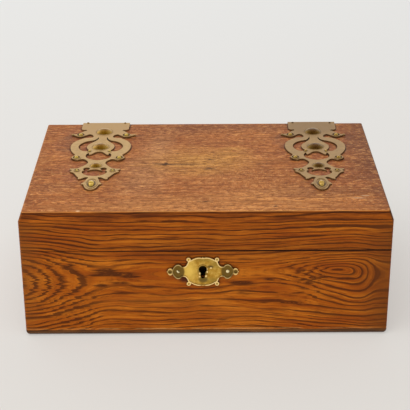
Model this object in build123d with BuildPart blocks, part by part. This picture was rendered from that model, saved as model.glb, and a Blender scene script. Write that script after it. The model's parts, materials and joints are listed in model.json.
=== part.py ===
from build123d import *
from math import atan2, cos, degrees, radians, sin, tan
import os

# Stationery box in oak with pierced brass strap hinges. Millimetres, +Z up, front towards -Y.
# The origin is on the underside, at the middle of the woodwork's width and depth.

os.makedirs("parts", exist_ok=True)

# ---------------------------------------------------------------- driving sizes: woodwork
width = 350.0
depth = 231.0
height = 131.4  # underside of the box to the top board's upper face
parting = 91.4  # height at which the lid meets the box
wall = 11.0
bottom_thick = 6.0
top_thick = 9.5
top_lean = 3.3  # each edge of the top board leans in by this much at its upper face
front_round = 2.5  # rounding of the upright corners at the front
back_round = 1.5
rim_bevel = 0.5  # small bevel on both outer edges of the parting line
bottom_round = 4.5  # rounding of the bottom board's lower edge
top_round = 1.3  # worn rounding of the top board's upper edge
seat_fit = 0.2  # play around a piece let into the wood
shank_fit = 0.05  # radial play of a nail or pin in its hole

# ---------------------------------------------------------------- driving sizes: inside
divider = 5.0
divider_height = 68.0  # above the bottom board
housing = 2.5  # depth of the grooves that hold the divisions
long_divider_x = 38.0  # middle of the front-to-back division
short_divider_y = 0.0  # middle of the cross division
lining = 0.8
lining_gap = 0.4  # between the lining and what stands round it

# ---------------------------------------------------------------- driving sizes: strap hinges
strap_thick = 1.5
strap_width = 51.0  # of the plain plate at the back edge
strap_land = 12.0  # straight part of the strap beside the back edge
strap_spots = {"left": -107.8, "right": 116.1}  # middle of each strap at the back edge
strap_slip = {"left": 0.6, "right": -1.4}  # each was nailed down by hand, a little out of line
strap_askew = 1.2  # degrees by which both straps lie askew, tips to the left
strap_edge_round = 1.4
knuckle_radius = 3.0
pin_radius = 1.5
pin_play = 0.06
knuckle_gap = 0.2  # between neighbouring knuckles
knuckle_clear = 0.4  # between the knuckles and the woodwork
middle_knuckle = 16.8  # length of the box's knuckle
flange_clear = 0.9  # between a leaf's edge and the knuckles of the other leaf
leaf_height = 24.0  # lower leaf, below its upper edge
leaf_corner = 5.0
heel_length = 3.2  # of a stop heel, out from the knuckle
heel_half_angle = 50.0  # degrees from level to the heel's face, up on the lid, down on the box
heel_clear = 0.6  # between the box's heel and the lid's knuckle
heel_side = 3.0  # bare knuckle left beside a heel
heel_depth = 9.0  # how far along the leaf a heel is braced

# ---------------------------------------------------------------- driving sizes: studs and nails
# head radius, head height, shank radius, shank length
large_stud = (8.8, 3.3, 1.3, 8.0)
neck_stud = (6.1, 2.5, 1.2, 8.0)
tip_stud = (3.1, 3.0, 0.9, 7.0)
scroll_pin = (2.4, 1.9, 0.8, 7.0)
leaf_pin = (1.5, 1.1, 0.6, 6.0)
flange_nail = (1.7, 1.4, 0.7, 8.0)
leaf_nail = (1.9, 1.2, 0.7, 8.0)
escutcheon_pin = (1.6, 1.0, 0.6, 8.0)

# ---------------------------------------------------------------- driving sizes: lock
lock_x = -3.2
lock_thick = 7.5
back_plate = (64.0, 36.0, 1.5)  # width, height, thickness
selvedge_reach = 8.0  # top plate, from the wall's inner face
selvedge_sink = 0.1  # top plate and link plate below the rims
case_size = (44.0, 31.0)
case_wall = 1.0
bolt_size = (31.2, 6.0, 1.8)  # bar's length, height and thickness
bolt_top = 9.0  # bar's upper edge, below the rims
bolt_throw = 5.0
loop_spots = (-10.0, 10.0)  # from the middle of the lock
loop_thick = 2.5
loop_width = 4.2
loop_drop = 8.3
loop_window = (2.4, 3.8)
loop_sill = 1.2
hook_width = 3.0
hook_tongue = 4.9
hook_height = 3.0
hook_play = 0.5
bolt_side_play = 0.3
rivet_radius = 1.2
guide_spots = (-13.0, 8.2)
guide_play = 0.1
corner_rivets = (18.0, -30.0)  # out from the middle, and down from the rims
key_notch = (4.0, 1.6)
screw_head = 2.4
screw_shank = 1.2
screw_length = 7.0
screw_slot = (0.6, 0.5)
screw_spots = ((-28.0, -30.0), (28.0, -30.0), (-28.0, -8.0), (28.0, -8.0))
link_plate_size = (64.0, 8.0, 1.5)
link_screw_x = 26.0
spring_strip = (0.5, 1.6)  # thickness and width

# ---------------------------------------------------------------- driving sizes: escutcheon
escutcheon_x = -3.1
escutcheon_z = 70.2
escutcheon_thick = 1.8
escutcheon_dish = 0.6  # how far the face lies below the rim
end_ring = (31.1, 1.7)  # sunk middle of each end ring: out from the middle, and radius
escutcheon_ball = 2.0
ball_spot = (13.4, 12.9)
pin_spot = 23.4
keyhole_radius = 3.4
keyhole_slot = 3.7
keyhole_rise = 2.5  # round part's middle, above the escutcheon's middle
keyhole_drop = 9.0  # slot's lower end, below the round part's middle
keyhole_rim = 1.3  # width of the collar around the keyhole

# ---------------------------------------------------------------- worked out from the above
half_w = width / 2
half_d = depth / 2
lid_top = height - top_thick  # upper edge of the lid's walls
edge_y = half_d - top_lean  # back edge of the lid's upper face
inner_x = half_w - wall
inner_y = half_d - wall
top_taper = degrees(atan2(top_lean, top_thick))
pin_out = knuckle_radius + knuckle_clear  # hinge pin's middle, behind the woodwork
pin_y = half_d + pin_out
keyhole_z = escutcheon_z + keyhole_rise
strap_names = list(strap_spots)

mitres = {
    "front": [(-half_w, -half_d), (half_w, -half_d), (inner_x, -inner_y), (-inner_x, -inner_y)],
    "back": [(-half_w, half_d), (half_w, half_d), (inner_x, inner_y), (-inner_x, inner_y)],
    "left": [(-half_w, -half_d), (-half_w, half_d), (-inner_x, inner_y), (-inner_x, -inner_y)],
    "right": [(half_w, -half_d), (half_w, half_d), (inner_x, inner_y), (inner_x, -inner_y)],
}


# ---------------------------------------------------------------- shared shapes
def outer_plan():
    """Plan of the box's outside, with rounded upright corners."""
    with BuildSketch() as plan:
        Rectangle(width, depth)
        fillet(plan.vertices().group_by(Axis.Y)[0], front_round)
        fillet(plan.vertices().group_by(Axis.Y)[-1], back_round)
    return plan.sketch


def wall_ring(low, high, rim):
    """The four walls as one ring from low to high, its outer edge bevelled at the height rim."""
    with BuildPart() as ring:
        with BuildSketch(Plane.XY.offset(low)):
            add(outer_plan())
        extrude(amount=high - low)
        chamfer(ring.edges().filter_by_position(Axis.Z, rim, rim), rim_bevel)
        with BuildSketch(Plane.XY.offset(low)):
            Rectangle(2 * inner_x, 2 * inner_y)
        extrude(amount=high - low, mode=Mode.SUBTRACT)
    return ring.part


def mitred_wall(side, low, high, rim):
    """One wall of the ring, cut off at 45 degrees at both ends."""
    with BuildPart() as piece:
        add(wall_ring(low, high, rim))
        with BuildSketch(Plane.XY.offset(low)):
            with BuildLine():
                Polyline(*mitres[side], close=True)
            make_face()
        extrude(amount=high - low, mode=Mode.INTERSECT)
    return piece.part


def domed_nail(sizes):
    """A nail or stud with a domed head: the head's flat underside at the origin, shank down."""
    head_radius, head_height, shank_radius, shank_length = sizes
    dome_radius = (head_radius**2 + head_height**2) / (2 * head_height)
    half_angle = atan2(head_radius, dome_radius - head_height) / 2
    shoulder = (dome_radius * sin(half_angle), dome_radius * cos(half_angle) - dome_radius + head_height)
    with BuildPart() as nail:
        with BuildSketch(Plane.XZ):
            with BuildLine():
                Line((0, head_height), (0, -shank_length))
                Line((0, -shank_length), (shank_radius, -shank_length))
                Line((shank_radius, -shank_length), (shank_radius, 0))
                Line((shank_radius, 0), (head_radius, 0))
                ThreePointArc((head_radius, 0), shoulder, (0, head_height))
            make_face()
        revolve(axis=Axis.Z)
    return nail.part


def countersunk_screw():
    """A slotted wood screw with its head's face at the origin, shank down."""
    with BuildPart() as screw:
        with BuildSketch(Plane.XZ):
            with BuildLine():
                Polyline(
                    (0, 0),
                    (screw_head, 0),
                    (screw_shank, screw_shank - screw_head),
                    (screw_shank, screw_shank - screw_length),
                    (0, -screw_length),
                    close=True,
                )
            make_face()
        revolve(axis=Axis.Z)
        Box(2 * screw_head, screw_slot[0], 2 * screw_slot[1], mode=Mode.SUBTRACT)
    return screw.part


def screw_hole(extra):
    """The space a countersunk screw takes, with extra play."""
    with BuildPart() as space:
        with BuildSketch(Plane.XZ):
            with BuildLine():
                Polyline(
                    (0, extra),
                    (screw_head + 2 * extra, extra),
                    (screw_shank + extra, screw_shank - screw_head),
                    (screw_shank + extra, screw_shank - screw_length - extra),
                    (0, -screw_length - 2 * extra),
                    close=True,
                )
            make_face()
        revolve(axis=Axis.Z)
    return space.part


def keyhole_plan(grow):
    """Keyhole: a round opening with a slot below, around the round part's middle."""
    half_slot = keyhole_slot / 2 + grow
    slot_length = keyhole_drop + grow
    with BuildSketch() as plan:
        Circle(keyhole_radius + grow)
        with Locations((0, -slot_length / 2)):
            Rectangle(2 * half_slot, slot_length)
    return plan.sketch


# ---------------------------------------------------------------- planes that pieces are laid out on
front_face = Plane(origin=(0, -half_d, 0), x_dir=(1, 0, 0), z_dir=(0, -1, 0))
inner_face = Plane(origin=(lock_x, -inner_y, parting), x_dir=(-1, 0, 0), z_dir=(0, 1, 0))
back_face = Plane(origin=(0, half_d, 0), x_dir=(-1, 0, 0), z_dir=(0, 1, 0))
keyhole_plane = Plane(origin=(escutcheon_x, -half_d, keyhole_z), x_dir=(1, 0, 0), z_dir=(0, -1, 0))
escutcheon_plane = Plane(origin=(escutcheon_x, -half_d, escutcheon_z), x_dir=(1, 0, 0), z_dir=(0, -1, 0))


def strap_plane(name):
    """The lid's upper face at the middle of a strap's back edge, turned askew as the strap is."""
    lean = radians(-strap_askew)
    origin = (strap_spots[name], edge_y + strap_slip[name], height)
    return Plane(origin=origin, x_dir=(cos(lean), sin(lean), 0), z_dir=(0, 0, 1))


def side_plane(x):
    """Upright plane across the hinge at x: local x points back, local y up, its origin on the pin."""
    return Plane(origin=(x, pin_y, parting), x_dir=(0, 1, 0), z_dir=(1, 0, 0))


# where the studs and pins stand on a strap: out from its middle, and forwards from the back edge
large_spots = [(0, -27.3), (0, -69.7)]
neck_spots = [(0, -119.7)]
tip_spots = [(0, -165.1)]
scroll_spots = [(24.4, -37.0), (-24.4, -37.0), (22.0, -99.3), (-22.0, -99.3)]
leaf_spots = [(17.9, -132.1), (-17.9, -132.1)]
strap_studs = [
    (large_spots, large_stud),
    (neck_spots, neck_stud),
    (tip_spots, tip_stud),
    (scroll_spots, scroll_pin),
    (leaf_spots, leaf_pin),
]

# nails through the strap's back flange and through the lower leaf: out from the middle, and height
flange_nail_spots = [(-21.0, height - 2.6), (21.0, height - 2.6), (-19.0, lid_top - 18.0), (19.0, lid_top - 18.0)]
leaf_top = parting - knuckle_radius - flange_clear
leaf_nail_spots = [(u, leaf_top - drop) for u in (-19.0, 19.0) for drop in (8.5, 18.0)]


def flange_plane(x, spot):
    """Plane on the strap's outer back face at a nail: on the sloping part above, upright below."""
    u, z = spot
    lean = radians(top_taper) if z > lid_top else 0.0
    y = half_d + strap_thick / cos(lean) - (z - lid_top) * tan(lean) if z > lid_top else half_d + strap_thick
    return Plane(origin=(x + u, y, z), x_dir=(-1, 0, 0), z_dir=(0, cos(lean), sin(lean)))


# ================================================================ box: woodwork
with BuildPart() as bottom_board:
    with BuildSketch():
        add(outer_plan())
    extrude(amount=bottom_thick)
    fillet(bottom_board.edges().group_by(Axis.Z)[0], bottom_round)
bottom_board.part.label = "bottom_board"
export_step(bottom_board.part, "parts/bottom_board.step")

groove_top = bottom_thick + divider_height
mortise_depth = lock_thick + seat_fit

with BuildPart() as front_wall:
    add(mitred_wall("front", bottom_thick, parting, parting))
    # groove that holds the long division
    with BuildSketch(Plane.XY.offset(bottom_thick)):
        with Locations((long_divider_x, -inner_y)):
            Rectangle(divider + seat_fit, 2 * housing)
    extrude(amount=divider_height + seat_fit, mode=Mode.SUBTRACT)
    # recess for the lock's back plate, and the deeper mortise for its case
    with BuildSketch(inner_face):
        with Locations((0, -back_plate[1] / 2)):
            Rectangle(back_plate[0] + 2 * seat_fit, back_plate[1] + 2 * seat_fit)
    extrude(amount=-back_plate[2], mode=Mode.SUBTRACT)
    with BuildSketch(inner_face):
        with Locations((0, -(case_size[1] + back_plate[2]) / 2)):
            Rectangle(case_size[0] + 2 * seat_fit, case_size[1] + back_plate[2] + 2 * seat_fit)
    extrude(amount=-mortise_depth, mode=Mode.SUBTRACT)
    # recess for the top plate, flush with the rim
    with BuildSketch(Plane.XY.offset(parting)):
        with Locations((lock_x, -inner_y - selvedge_reach / 2)):
            Rectangle(back_plate[0] + 2 * seat_fit, selvedge_reach + 2 * seat_fit)
    extrude(amount=-(back_plate[2] + selvedge_sink), mode=Mode.SUBTRACT)
    # keyhole
    with BuildSketch(keyhole_plane):
        add(keyhole_plan(0))
    extrude(amount=-wall, mode=Mode.SUBTRACT)
    # holes for the escutcheon's pins and the lock's screws
    with Locations(escutcheon_plane):
        with Locations((-pin_spot, 0), (pin_spot, 0)):
            Hole(escutcheon_pin[2] + shank_fit, escutcheon_pin[3])
    with Locations(inner_face):
        with Locations(*screw_spots):
            add(screw_hole(shank_fit), mode=Mode.SUBTRACT)
front_wall.part.label = "front_wall"
export_step(front_wall.part, "parts/front_wall.step")

with BuildPart() as back_wall:
    add(mitred_wall("back", bottom_thick, parting, parting))
    with BuildSketch(Plane.XY.offset(bottom_thick)):
        with Locations((long_divider_x, inner_y)):
            Rectangle(divider + seat_fit, 2 * housing)
    extrude(amount=divider_height + seat_fit, mode=Mode.SUBTRACT)
    for x in strap_spots.values():
        with Locations(back_face):
            with Locations(*[(-(x + u), z) for u, z in leaf_nail_spots]):
                Hole(leaf_nail[2] + shank_fit, leaf_nail[3] - strap_thick + seat_fit)
back_wall.part.label = "back_wall"
export_step(back_wall.part, "parts/back_wall.step")

with BuildPart() as left_wall:
    add(mitred_wall("left", bottom_thick, parting, parting))
left_wall.part.label = "left_wall"
export_step(left_wall.part, "parts/left_wall.step")

with BuildPart() as right_wall:
    add(mitred_wall("right", bottom_thick, parting, parting))
    with BuildSketch(Plane.XY.offset(bottom_thick)):
        with Locations((inner_x, short_divider_y)):
            Rectangle(2 * housing, divider + seat_fit)
    extrude(amount=divider_height + seat_fit, mode=Mode.SUBTRACT)
right_wall.part.label = "right_wall"
export_step(right_wall.part, "parts/right_wall.step")

# ================================================================ box: divisions and lining
long_half = inner_y + housing - seat_fit

with BuildPart() as long_divider:
    with BuildSketch(Plane.XY.offset(bottom_thick)):
        with Locations((long_divider_x, 0)):
            Rectangle(divider, 2 * long_half)
    extrude(amount=divider_height)
    # groove that holds the short division
    with BuildSketch(Plane.XY.offset(bottom_thick)):
        with Locations((long_divider_x + divider / 2, short_divider_y)):
            Rectangle(housing, divider + seat_fit)
    extrude(amount=divider_height, mode=Mode.SUBTRACT)
long_divider.part.label = "long_divider"
export_step(long_divider.part, "parts/long_divider.step")

short_left = long_divider_x + divider / 2 - housing / 2 + seat_fit
short_right = inner_x + housing - seat_fit

with BuildPart() as short_divider:
    with BuildSketch(Plane.XY.offset(bottom_thick)):
        with Locations(((short_left + short_right) / 2, short_divider_y)):
            Rectangle(short_right - short_left, divider)
    extrude(amount=divider_height)
short_divider.part.label = "short_divider"
export_step(short_divider.part, "parts/short_divider.step")

# floors of the three compartments: low x, low y, high x, high y
long_left_face = long_divider_x - divider / 2
long_right_face = long_divider_x + divider / 2
compartments = [
    (-inner_x, -inner_y, long_left_face, inner_y),
    (long_right_face, -inner_y, inner_x, short_divider_y - divider / 2),
    (long_right_face, short_divider_y + divider / 2, inner_x, inner_y),
]

with BuildPart() as floor_lining:
    for low_x, low_y, high_x, high_y in compartments:
        with BuildSketch(Plane.XY.offset(bottom_thick)):
            with Locations(((low_x + high_x) / 2, (low_y + high_y) / 2)):
                Rectangle(high_x - low_x - 2 * lining_gap, high_y - low_y - 2 * lining_gap)
        extrude(amount=lining)
floor_lining.part.label = "floor_lining"
export_step(floor_lining.part, "parts/floor_lining.step")

# ================================================================ box: lock
case_top = back_plate[2] + selvedge_sink  # below the rims
case_back = lock_thick - back_plate[2]  # depth of the case's outside
bolt_middle = back_plate[2] + (case_back - case_wall) / 2
bolt_z = -(bolt_top + bolt_size[1] / 2)
rivet_spots = [(x, bolt_z) for x in guide_spots]
rivet_spots += [(-corner_rivets[0], corner_rivets[1]), (corner_rivets[0], corner_rivets[1])]

# The lock is laid out on the wall's inner face, seen from the front: x to the right, y up from the
# rims, and depth counted forwards, into the wall.
lock_face = Plane(origin=(lock_x, -inner_y, parting), x_dir=(1, 0, 0), z_dir=(0, -1, 0))

with BuildPart() as lock_plate:
    with BuildSketch(lock_face):
        with Locations((0, -(back_plate[1] + selvedge_sink) / 2)):
            Rectangle(back_plate[0], back_plate[1] - selvedge_sink)
    extrude(amount=back_plate[2])
    with BuildSketch(Plane.XY.offset(parting - selvedge_sink)):
        with Locations((lock_x, -inner_y - selvedge_reach / 2)):
            Rectangle(back_plate[0], selvedge_reach)
    extrude(amount=-back_plate[2])
    # slots that the link plate's loops drop through
    with BuildSketch(Plane.XY.offset(parting)):
        with Locations(*[(lock_x + x, -inner_y - bolt_middle) for x in loop_spots]):
            Rectangle(loop_thick + 2 * hook_play, loop_width + 2 * hook_play)
    extrude(amount=-case_top - seat_fit, mode=Mode.SUBTRACT)
    with Locations(inner_face):
        with Locations(*screw_spots):
            add(screw_hole(shank_fit), mode=Mode.SUBTRACT)
    with Locations(lock_face.offset(back_plate[2])):
        with Locations(*rivet_spots):
            Hole(rivet_radius + shank_fit, back_plate[2] + seat_fit)
        # hole that the tip of a solid key turns in
        with Locations((escutcheon_x - lock_x, keyhole_z - parting)):
            Hole(rivet_radius, back_plate[2] + seat_fit)
lock_plate.part.label = "lock_plate"
export_step(lock_plate.part, "parts/lock_plate.step")

with BuildPart() as lock_case:
    with BuildSketch(lock_face.offset(back_plate[2])):
        with Locations((0, -case_top - case_size[1] / 2)):
            Rectangle(*case_size)
    extrude(amount=case_back)
    with BuildSketch(lock_face.offset(back_plate[2])):
        with Locations((0, -case_top - (case_size[1] - case_wall) / 2)):
            Rectangle(case_size[0] - 2 * case_wall, case_size[1] - case_wall)
    extrude(amount=case_back - case_wall, mode=Mode.SUBTRACT)
    with BuildSketch(keyhole_plane.offset(-wall)):
        add(keyhole_plan(seat_fit))
    extrude(amount=wall, mode=Mode.SUBTRACT)
    with Locations(lock_face.offset(lock_thick)):
        with Locations(*rivet_spots):
            Hole(rivet_radius + shank_fit, case_wall + seat_fit)
lock_case.part.label = "lock_case"
export_step(lock_case.part, "parts/lock_case.step")

with BuildPart() as lock_rivets:
    with BuildSketch(lock_face):
        with Locations(*rivet_spots):
            Circle(rivet_radius)
    extrude(amount=lock_thick)
lock_rivets.part.label = "lock_rivets"
export_step(lock_rivets.part, "parts/lock_rivets.step")

# The bolt at rest is drawn back, with each hook's tongue just short of its loop.
tongue_tip = -loop_thick / 2 - hook_play
hook_left = tongue_tip - hook_tongue - hook_width
bar_left = loop_spots[0] + hook_left - 1.0
window_bottom = -(loop_drop + selvedge_sink) + loop_sill
tongue_middle = window_bottom + loop_window[1] / 2

with BuildPart() as lock_bolt:
    with BuildSketch(lock_face.offset(bolt_middle - bolt_size[2] / 2)):
        with Locations((bar_left + bolt_size[0] / 2, bolt_z)):
            Rectangle(bolt_size[0], bolt_size[1])
        for x in loop_spots:
            post_height = tongue_middle + hook_height / 2 + bolt_top
            with Locations((x + hook_left + hook_width / 2, -bolt_top + post_height / 2)):
                Rectangle(hook_width, post_height)
            with Locations((x + tongue_tip - (hook_tongue + hook_width) / 2, tongue_middle)):
                Rectangle(hook_tongue + hook_width, hook_height)
        # slots that ride on the two guide rivets
        for x in guide_spots:
            with Locations((x - bolt_throw / 2, bolt_z)):
                SlotCenterToCenter(bolt_throw, 2 * (rivet_radius + guide_play), mode=Mode.SUBTRACT)
        # notch that the key's bit turns in
        with Locations((0, -bolt_top - bolt_size[1] + key_notch[1] / 2)):
            Rectangle(*key_notch, mode=Mode.SUBTRACT)
    extrude(amount=bolt_size[2])
lock_bolt.part.label = "lock_bolt"
export_step(lock_bolt.part, "parts/lock_bolt.step")

spring_foot = (-case_size[0] / 2 + case_wall + 2 * seat_fit, -24.0)
spring_back = (-17.0, -20.5)
spring_tip = (bar_left + 5.0, -bolt_top - bolt_size[1] - spring_strip[0] / 2 - seat_fit)

with BuildPart() as bolt_spring:
    with BuildSketch(lock_face.offset(bolt_middle - spring_strip[1] / 2)):
        with BuildLine():
            ThreePointArc(spring_foot, spring_back, spring_tip)
        trace(line_width=spring_strip[0])
    extrude(amount=spring_strip[1])
bolt_spring.part.label = "bolt_spring"
export_step(bolt_spring.part, "parts/bolt_spring.step")

with BuildPart() as lock_screws:
    with Locations(inner_face):
        with Locations(*screw_spots):
            add(countersunk_screw())
lock_screws.part.label = "lock_screws"
export_step(lock_screws.part, "parts/lock_screws.step")


# ================================================================ box: escutcheon
def escutcheon_plan():
    """Outline of the escutcheon: a quarter drawn with curves and mirrored twice, and four balls."""
    with BuildSketch() as plan:
        with BuildLine():
            Line((0, 15.4), (0.9, 14.5))
            Spline((0.9, 14.5), (4.4, 15.0), (8.4, 13.8), (12.3, 11.6))
            Line((12.3, 11.6), (13.8, 10.9))
            Spline((13.8, 10.9), (14.9, 7.8), (16.3, 5.9), (18.4, 5.1))
            Line((18.4, 5.1), (20.0, 5.3))
            Spline((20.0, 5.3), (21.6, 7.1), (23.6, 7.6), (26.4, 6.0), (28.7, 2.1))
            Spline((28.7, 2.1), (29.7, 3.3), (31.2, 3.6), (32.8, 2.4), (33.2, 0.9))
            Line((33.2, 0.9), (34.2, 0))
            mirror(about=Plane.YZ)
            mirror(about=Plane.XZ)
        make_face()
        with GridLocations(2 * ball_spot[0], 2 * ball_spot[1], 2, 2):
            Circle(escutcheon_ball)
    return plan.sketch


def escutcheon_field():
    """The sunk face inside the rim, and the sunk middles of the end rings and corner balls."""
    with BuildSketch() as plan:
        with BuildLine():
            Spline((0, 13.6), (3.0, 14.0), (7.9, 12.9), (11.6, 10.9))
            Line((11.6, 10.9), (12.9, 10.1))
            Spline((12.9, 10.1), (14.0, 7.4), (15.6, 5.2), (18.1, 4.2))
            Line((18.1, 4.2), (20.3, 4.4))
            Spline((20.3, 4.4), (22.0, 6.3), (23.6, 6.7), (25.8, 5.4), (28.1, 1.4))
            Line((28.1, 1.4), (28.4, 0))
            mirror(about=Plane.YZ)
            mirror(about=Plane.XZ)
        make_face()
        with Locations((-end_ring[0], 0), (end_ring[0], 0)):
            Circle(end_ring[1])
        with GridLocations(2 * ball_spot[0], 2 * ball_spot[1], 2, 2):
            Circle(escutcheon_ball / 2)
    return plan.sketch


with BuildPart() as escutcheon:
    with BuildSketch(escutcheon_plane):
        add(escutcheon_plan())
    extrude(amount=escutcheon_thick)
    # the face is sunk, which leaves a raised rim
    with BuildSketch(escutcheon_plane.offset(escutcheon_thick - escutcheon_dish)):
        add(escutcheon_field())
    extrude(amount=escutcheon_dish, mode=Mode.SUBTRACT)
    # collar around the keyhole
    with BuildSketch(keyhole_plane):
        add(keyhole_plan(keyhole_rim))
    extrude(amount=escutcheon_thick)
    with BuildSketch(keyhole_plane):
        add(keyhole_plan(0))
    extrude(amount=escutcheon_thick, mode=Mode.SUBTRACT)
    with Locations(escutcheon_plane.offset(escutcheon_thick)):
        with Locations((-pin_spot, 0), (pin_spot, 0)):
            Hole(escutcheon_pin[2] + shank_fit, escutcheon_thick)
escutcheon.part.label = "escutcheon"
export_step(escutcheon.part, "parts/escutcheon.step")

with BuildPart() as escutcheon_pins:
    with Locations(escutcheon_plane.offset(escutcheon_thick - escutcheon_dish)):
        with Locations((-pin_spot, 0), (pin_spot, 0)):
            add(domed_nail(escutcheon_pin))
escutcheon_pins.part.label = "escutcheon_pins"
export_step(escutcheon_pins.part, "parts/escutcheon_pins.step")

# ================================================================ hinge knuckles
half_strap = strap_width / 2
half_middle = middle_knuckle / 2
outer_length = half_strap - half_middle - knuckle_gap
outer_spots = [-half_middle - knuckle_gap - outer_length, half_middle + knuckle_gap]
plate_face = strap_thick - pin_out  # outer face of both leaves, counted back from the pin
heel_up = radians(heel_half_angle)
heel_reach = knuckle_radius + heel_length
heel_start = knuckle_radius + heel_clear
heel_end = (heel_reach * cos(heel_up), heel_reach * sin(heel_up))
heel_near = (heel_start * cos(heel_up), heel_start * sin(heel_up))
web_base = knuckle_radius + flange_clear
web_slope = 1.2


def web_outline(sign):
    """Web that joins a leaf's plate to its knuckle: upwards for the lid, downwards for the box."""
    return [
        (-pin_out, sign * knuckle_gap),
        (0, sign * knuckle_gap),
        (0, sign * knuckle_radius),
        (plate_face, sign * (knuckle_radius + web_slope)),
        (plate_face, sign * (web_base + web_slope)),
        (-pin_out, sign * (web_base + web_slope)),
    ]


def knuckle(plane, length, sign):
    """A hinge knuckle with its web, from the plane to the given length along +X."""
    with BuildPart() as piece:
        with BuildSketch(plane):
            Circle(knuckle_radius)
            with BuildLine():
                Polyline(*web_outline(sign), close=True)
            make_face()
            Circle(pin_radius + pin_play, mode=Mode.SUBTRACT)
        extrude(amount=length)
    return piece.part


def heel(plane, length, outline):
    """A stop heel of the given outline, with bare knuckle left on both sides of it."""
    with BuildPart() as piece:
        with BuildSketch(plane.offset(heel_side)):
            with BuildLine():
                Polyline(*outline, close=True)
            make_face()
            Circle(pin_radius + pin_play, mode=Mode.SUBTRACT)
        extrude(amount=length - 2 * heel_side)
    return piece.part


lid_heel = [(0, 0), heel_end, (plate_face, heel_depth), (plate_face, web_base), (plate_face, knuckle_radius / 2)]
box_heel = [
    (heel_near[0], -heel_near[1]),
    (heel_end[0], -heel_end[1]),
    (plate_face, -heel_depth),
    (plate_face, -web_base),
    (0, -web_base),
]

# ================================================================ box: lower hinge leaves and pins
for name in strap_names:
    x = strap_spots[name]

    with BuildPart() as hinge_leaf:
        with BuildSketch(back_face):
            with Locations((-x, leaf_top - leaf_height / 2)):
                Rectangle(strap_width, leaf_height)
        extrude(amount=strap_thick)
        fillet(hinge_leaf.edges().filter_by(Axis.Y).group_by(Axis.Z)[0], leaf_corner)
        add(knuckle(side_plane(x - half_middle), middle_knuckle, -1))
        for start in outer_spots:
            add(heel(side_plane(x + start), outer_length, box_heel))
        with Locations(back_face.offset(strap_thick)):
            with Locations(*[(-(x + u), z) for u, z in leaf_nail_spots]):
                Hole(leaf_nail[2] + shank_fit, strap_thick)
    hinge_leaf.part.label = f"hinge_leaf_{name}"
    export_step(hinge_leaf.part, f"parts/hinge_leaf_{name}.step")

    # the pin has a low round head at each end
    with BuildPart() as hinge_pin:
        with BuildSketch(side_plane(x - half_strap - knuckle_gap)):
            Circle(pin_radius)
        extrude(amount=strap_width + 2 * knuckle_gap)
        for end, way in ((x - half_strap - knuckle_gap, -1), (x + half_strap + knuckle_gap, 1)):
            with BuildSketch(side_plane(end)):
                Circle(0.8 * knuckle_radius)
            extrude(amount=way * 1.2, taper=25)
    hinge_pin.part.label = f"hinge_pin_{name}"
    export_step(hinge_pin.part, f"parts/hinge_pin_{name}.step")

with BuildPart() as hinge_leaf_nails:
    for x in strap_spots.values():
        with Locations(back_face.offset(strap_thick)):
            with Locations(*[(-(x + u), z) for u, z in leaf_nail_spots]):
                add(domed_nail(leaf_nail))
hinge_leaf_nails.part.label = "hinge_leaf_nails"
export_step(hinge_leaf_nails.part, "parts/hinge_leaf_nails.step")

# ================================================================ lid: woodwork
with BuildPart() as top_board:
    with BuildSketch(Plane.XY.offset(lid_top)):
        Rectangle(width, depth)
    extrude(amount=top_thick, taper=top_taper)
    fillet(top_board.edges().group_by(Axis.Z)[1].group_by(Axis.Y)[0], front_round)
    fillet(top_board.edges().group_by(Axis.Z)[1].group_by(Axis.Y)[-1], back_round)
    fillet(top_board.edges().group_by(Axis.Z)[-1], top_round)
    # holes for the studs and pins that come through the straps
    for name in strap_names:
        with Locations(strap_plane(name)):
            for spots, sizes in strap_studs:
                with Locations(*spots):
                    Hole(sizes[2] + shank_fit, sizes[3] - strap_thick + seat_fit)
        for spot in flange_nail_spots[:2]:
            with Locations(flange_plane(strap_spots[name], spot)):
                Hole(flange_nail[2] + shank_fit, flange_nail[3] + seat_fit)
top_board.part.label = "top_board"
export_step(top_board.part, "parts/top_board.step")

with BuildPart() as lid_front_wall:
    add(mitred_wall("front", parting, lid_top, parting))
    # recess for the link plate, flush with the lid's rim, and its screws
    with BuildSketch(Plane.XY.offset(parting)):
        with Locations((lock_x, -inner_y - link_plate_size[1] / 2)):
            Rectangle(link_plate_size[0] + 2 * seat_fit, link_plate_size[1] + 2 * seat_fit)
    extrude(amount=link_plate_size[2] + selvedge_sink, mode=Mode.SUBTRACT)
    link_plane = Plane(
        origin=(lock_x, -inner_y - link_plate_size[1] / 2, parting + selvedge_sink),
        x_dir=(1, 0, 0),
        z_dir=(0, 0, -1),
    )
    with Locations(link_plane):
        with Locations((-link_screw_x, 0), (link_screw_x, 0)):
            add(screw_hole(shank_fit), mode=Mode.SUBTRACT)
lid_front_wall.part.label = "lid_front_wall"
export_step(lid_front_wall.part, "parts/lid_front_wall.step")

with BuildPart() as lid_back_wall:
    add(mitred_wall("back", parting, lid_top, parting))
    for x in strap_spots.values():
        for spot in flange_nail_spots[2:]:
            with Locations(flange_plane(x, spot)):
                Hole(flange_nail[2] + shank_fit, flange_nail[3] + seat_fit)
lid_back_wall.part.label = "lid_back_wall"
export_step(lid_back_wall.part, "parts/lid_back_wall.step")

for side in ("left", "right"):
    with BuildPart() as lid_side_wall:
        add(mitred_wall(side, parting, lid_top, parting))
    lid_side_wall.part.label = f"lid_{side}_wall"
    export_step(lid_side_wall.part, f"parts/lid_{side}_wall.step")


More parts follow.
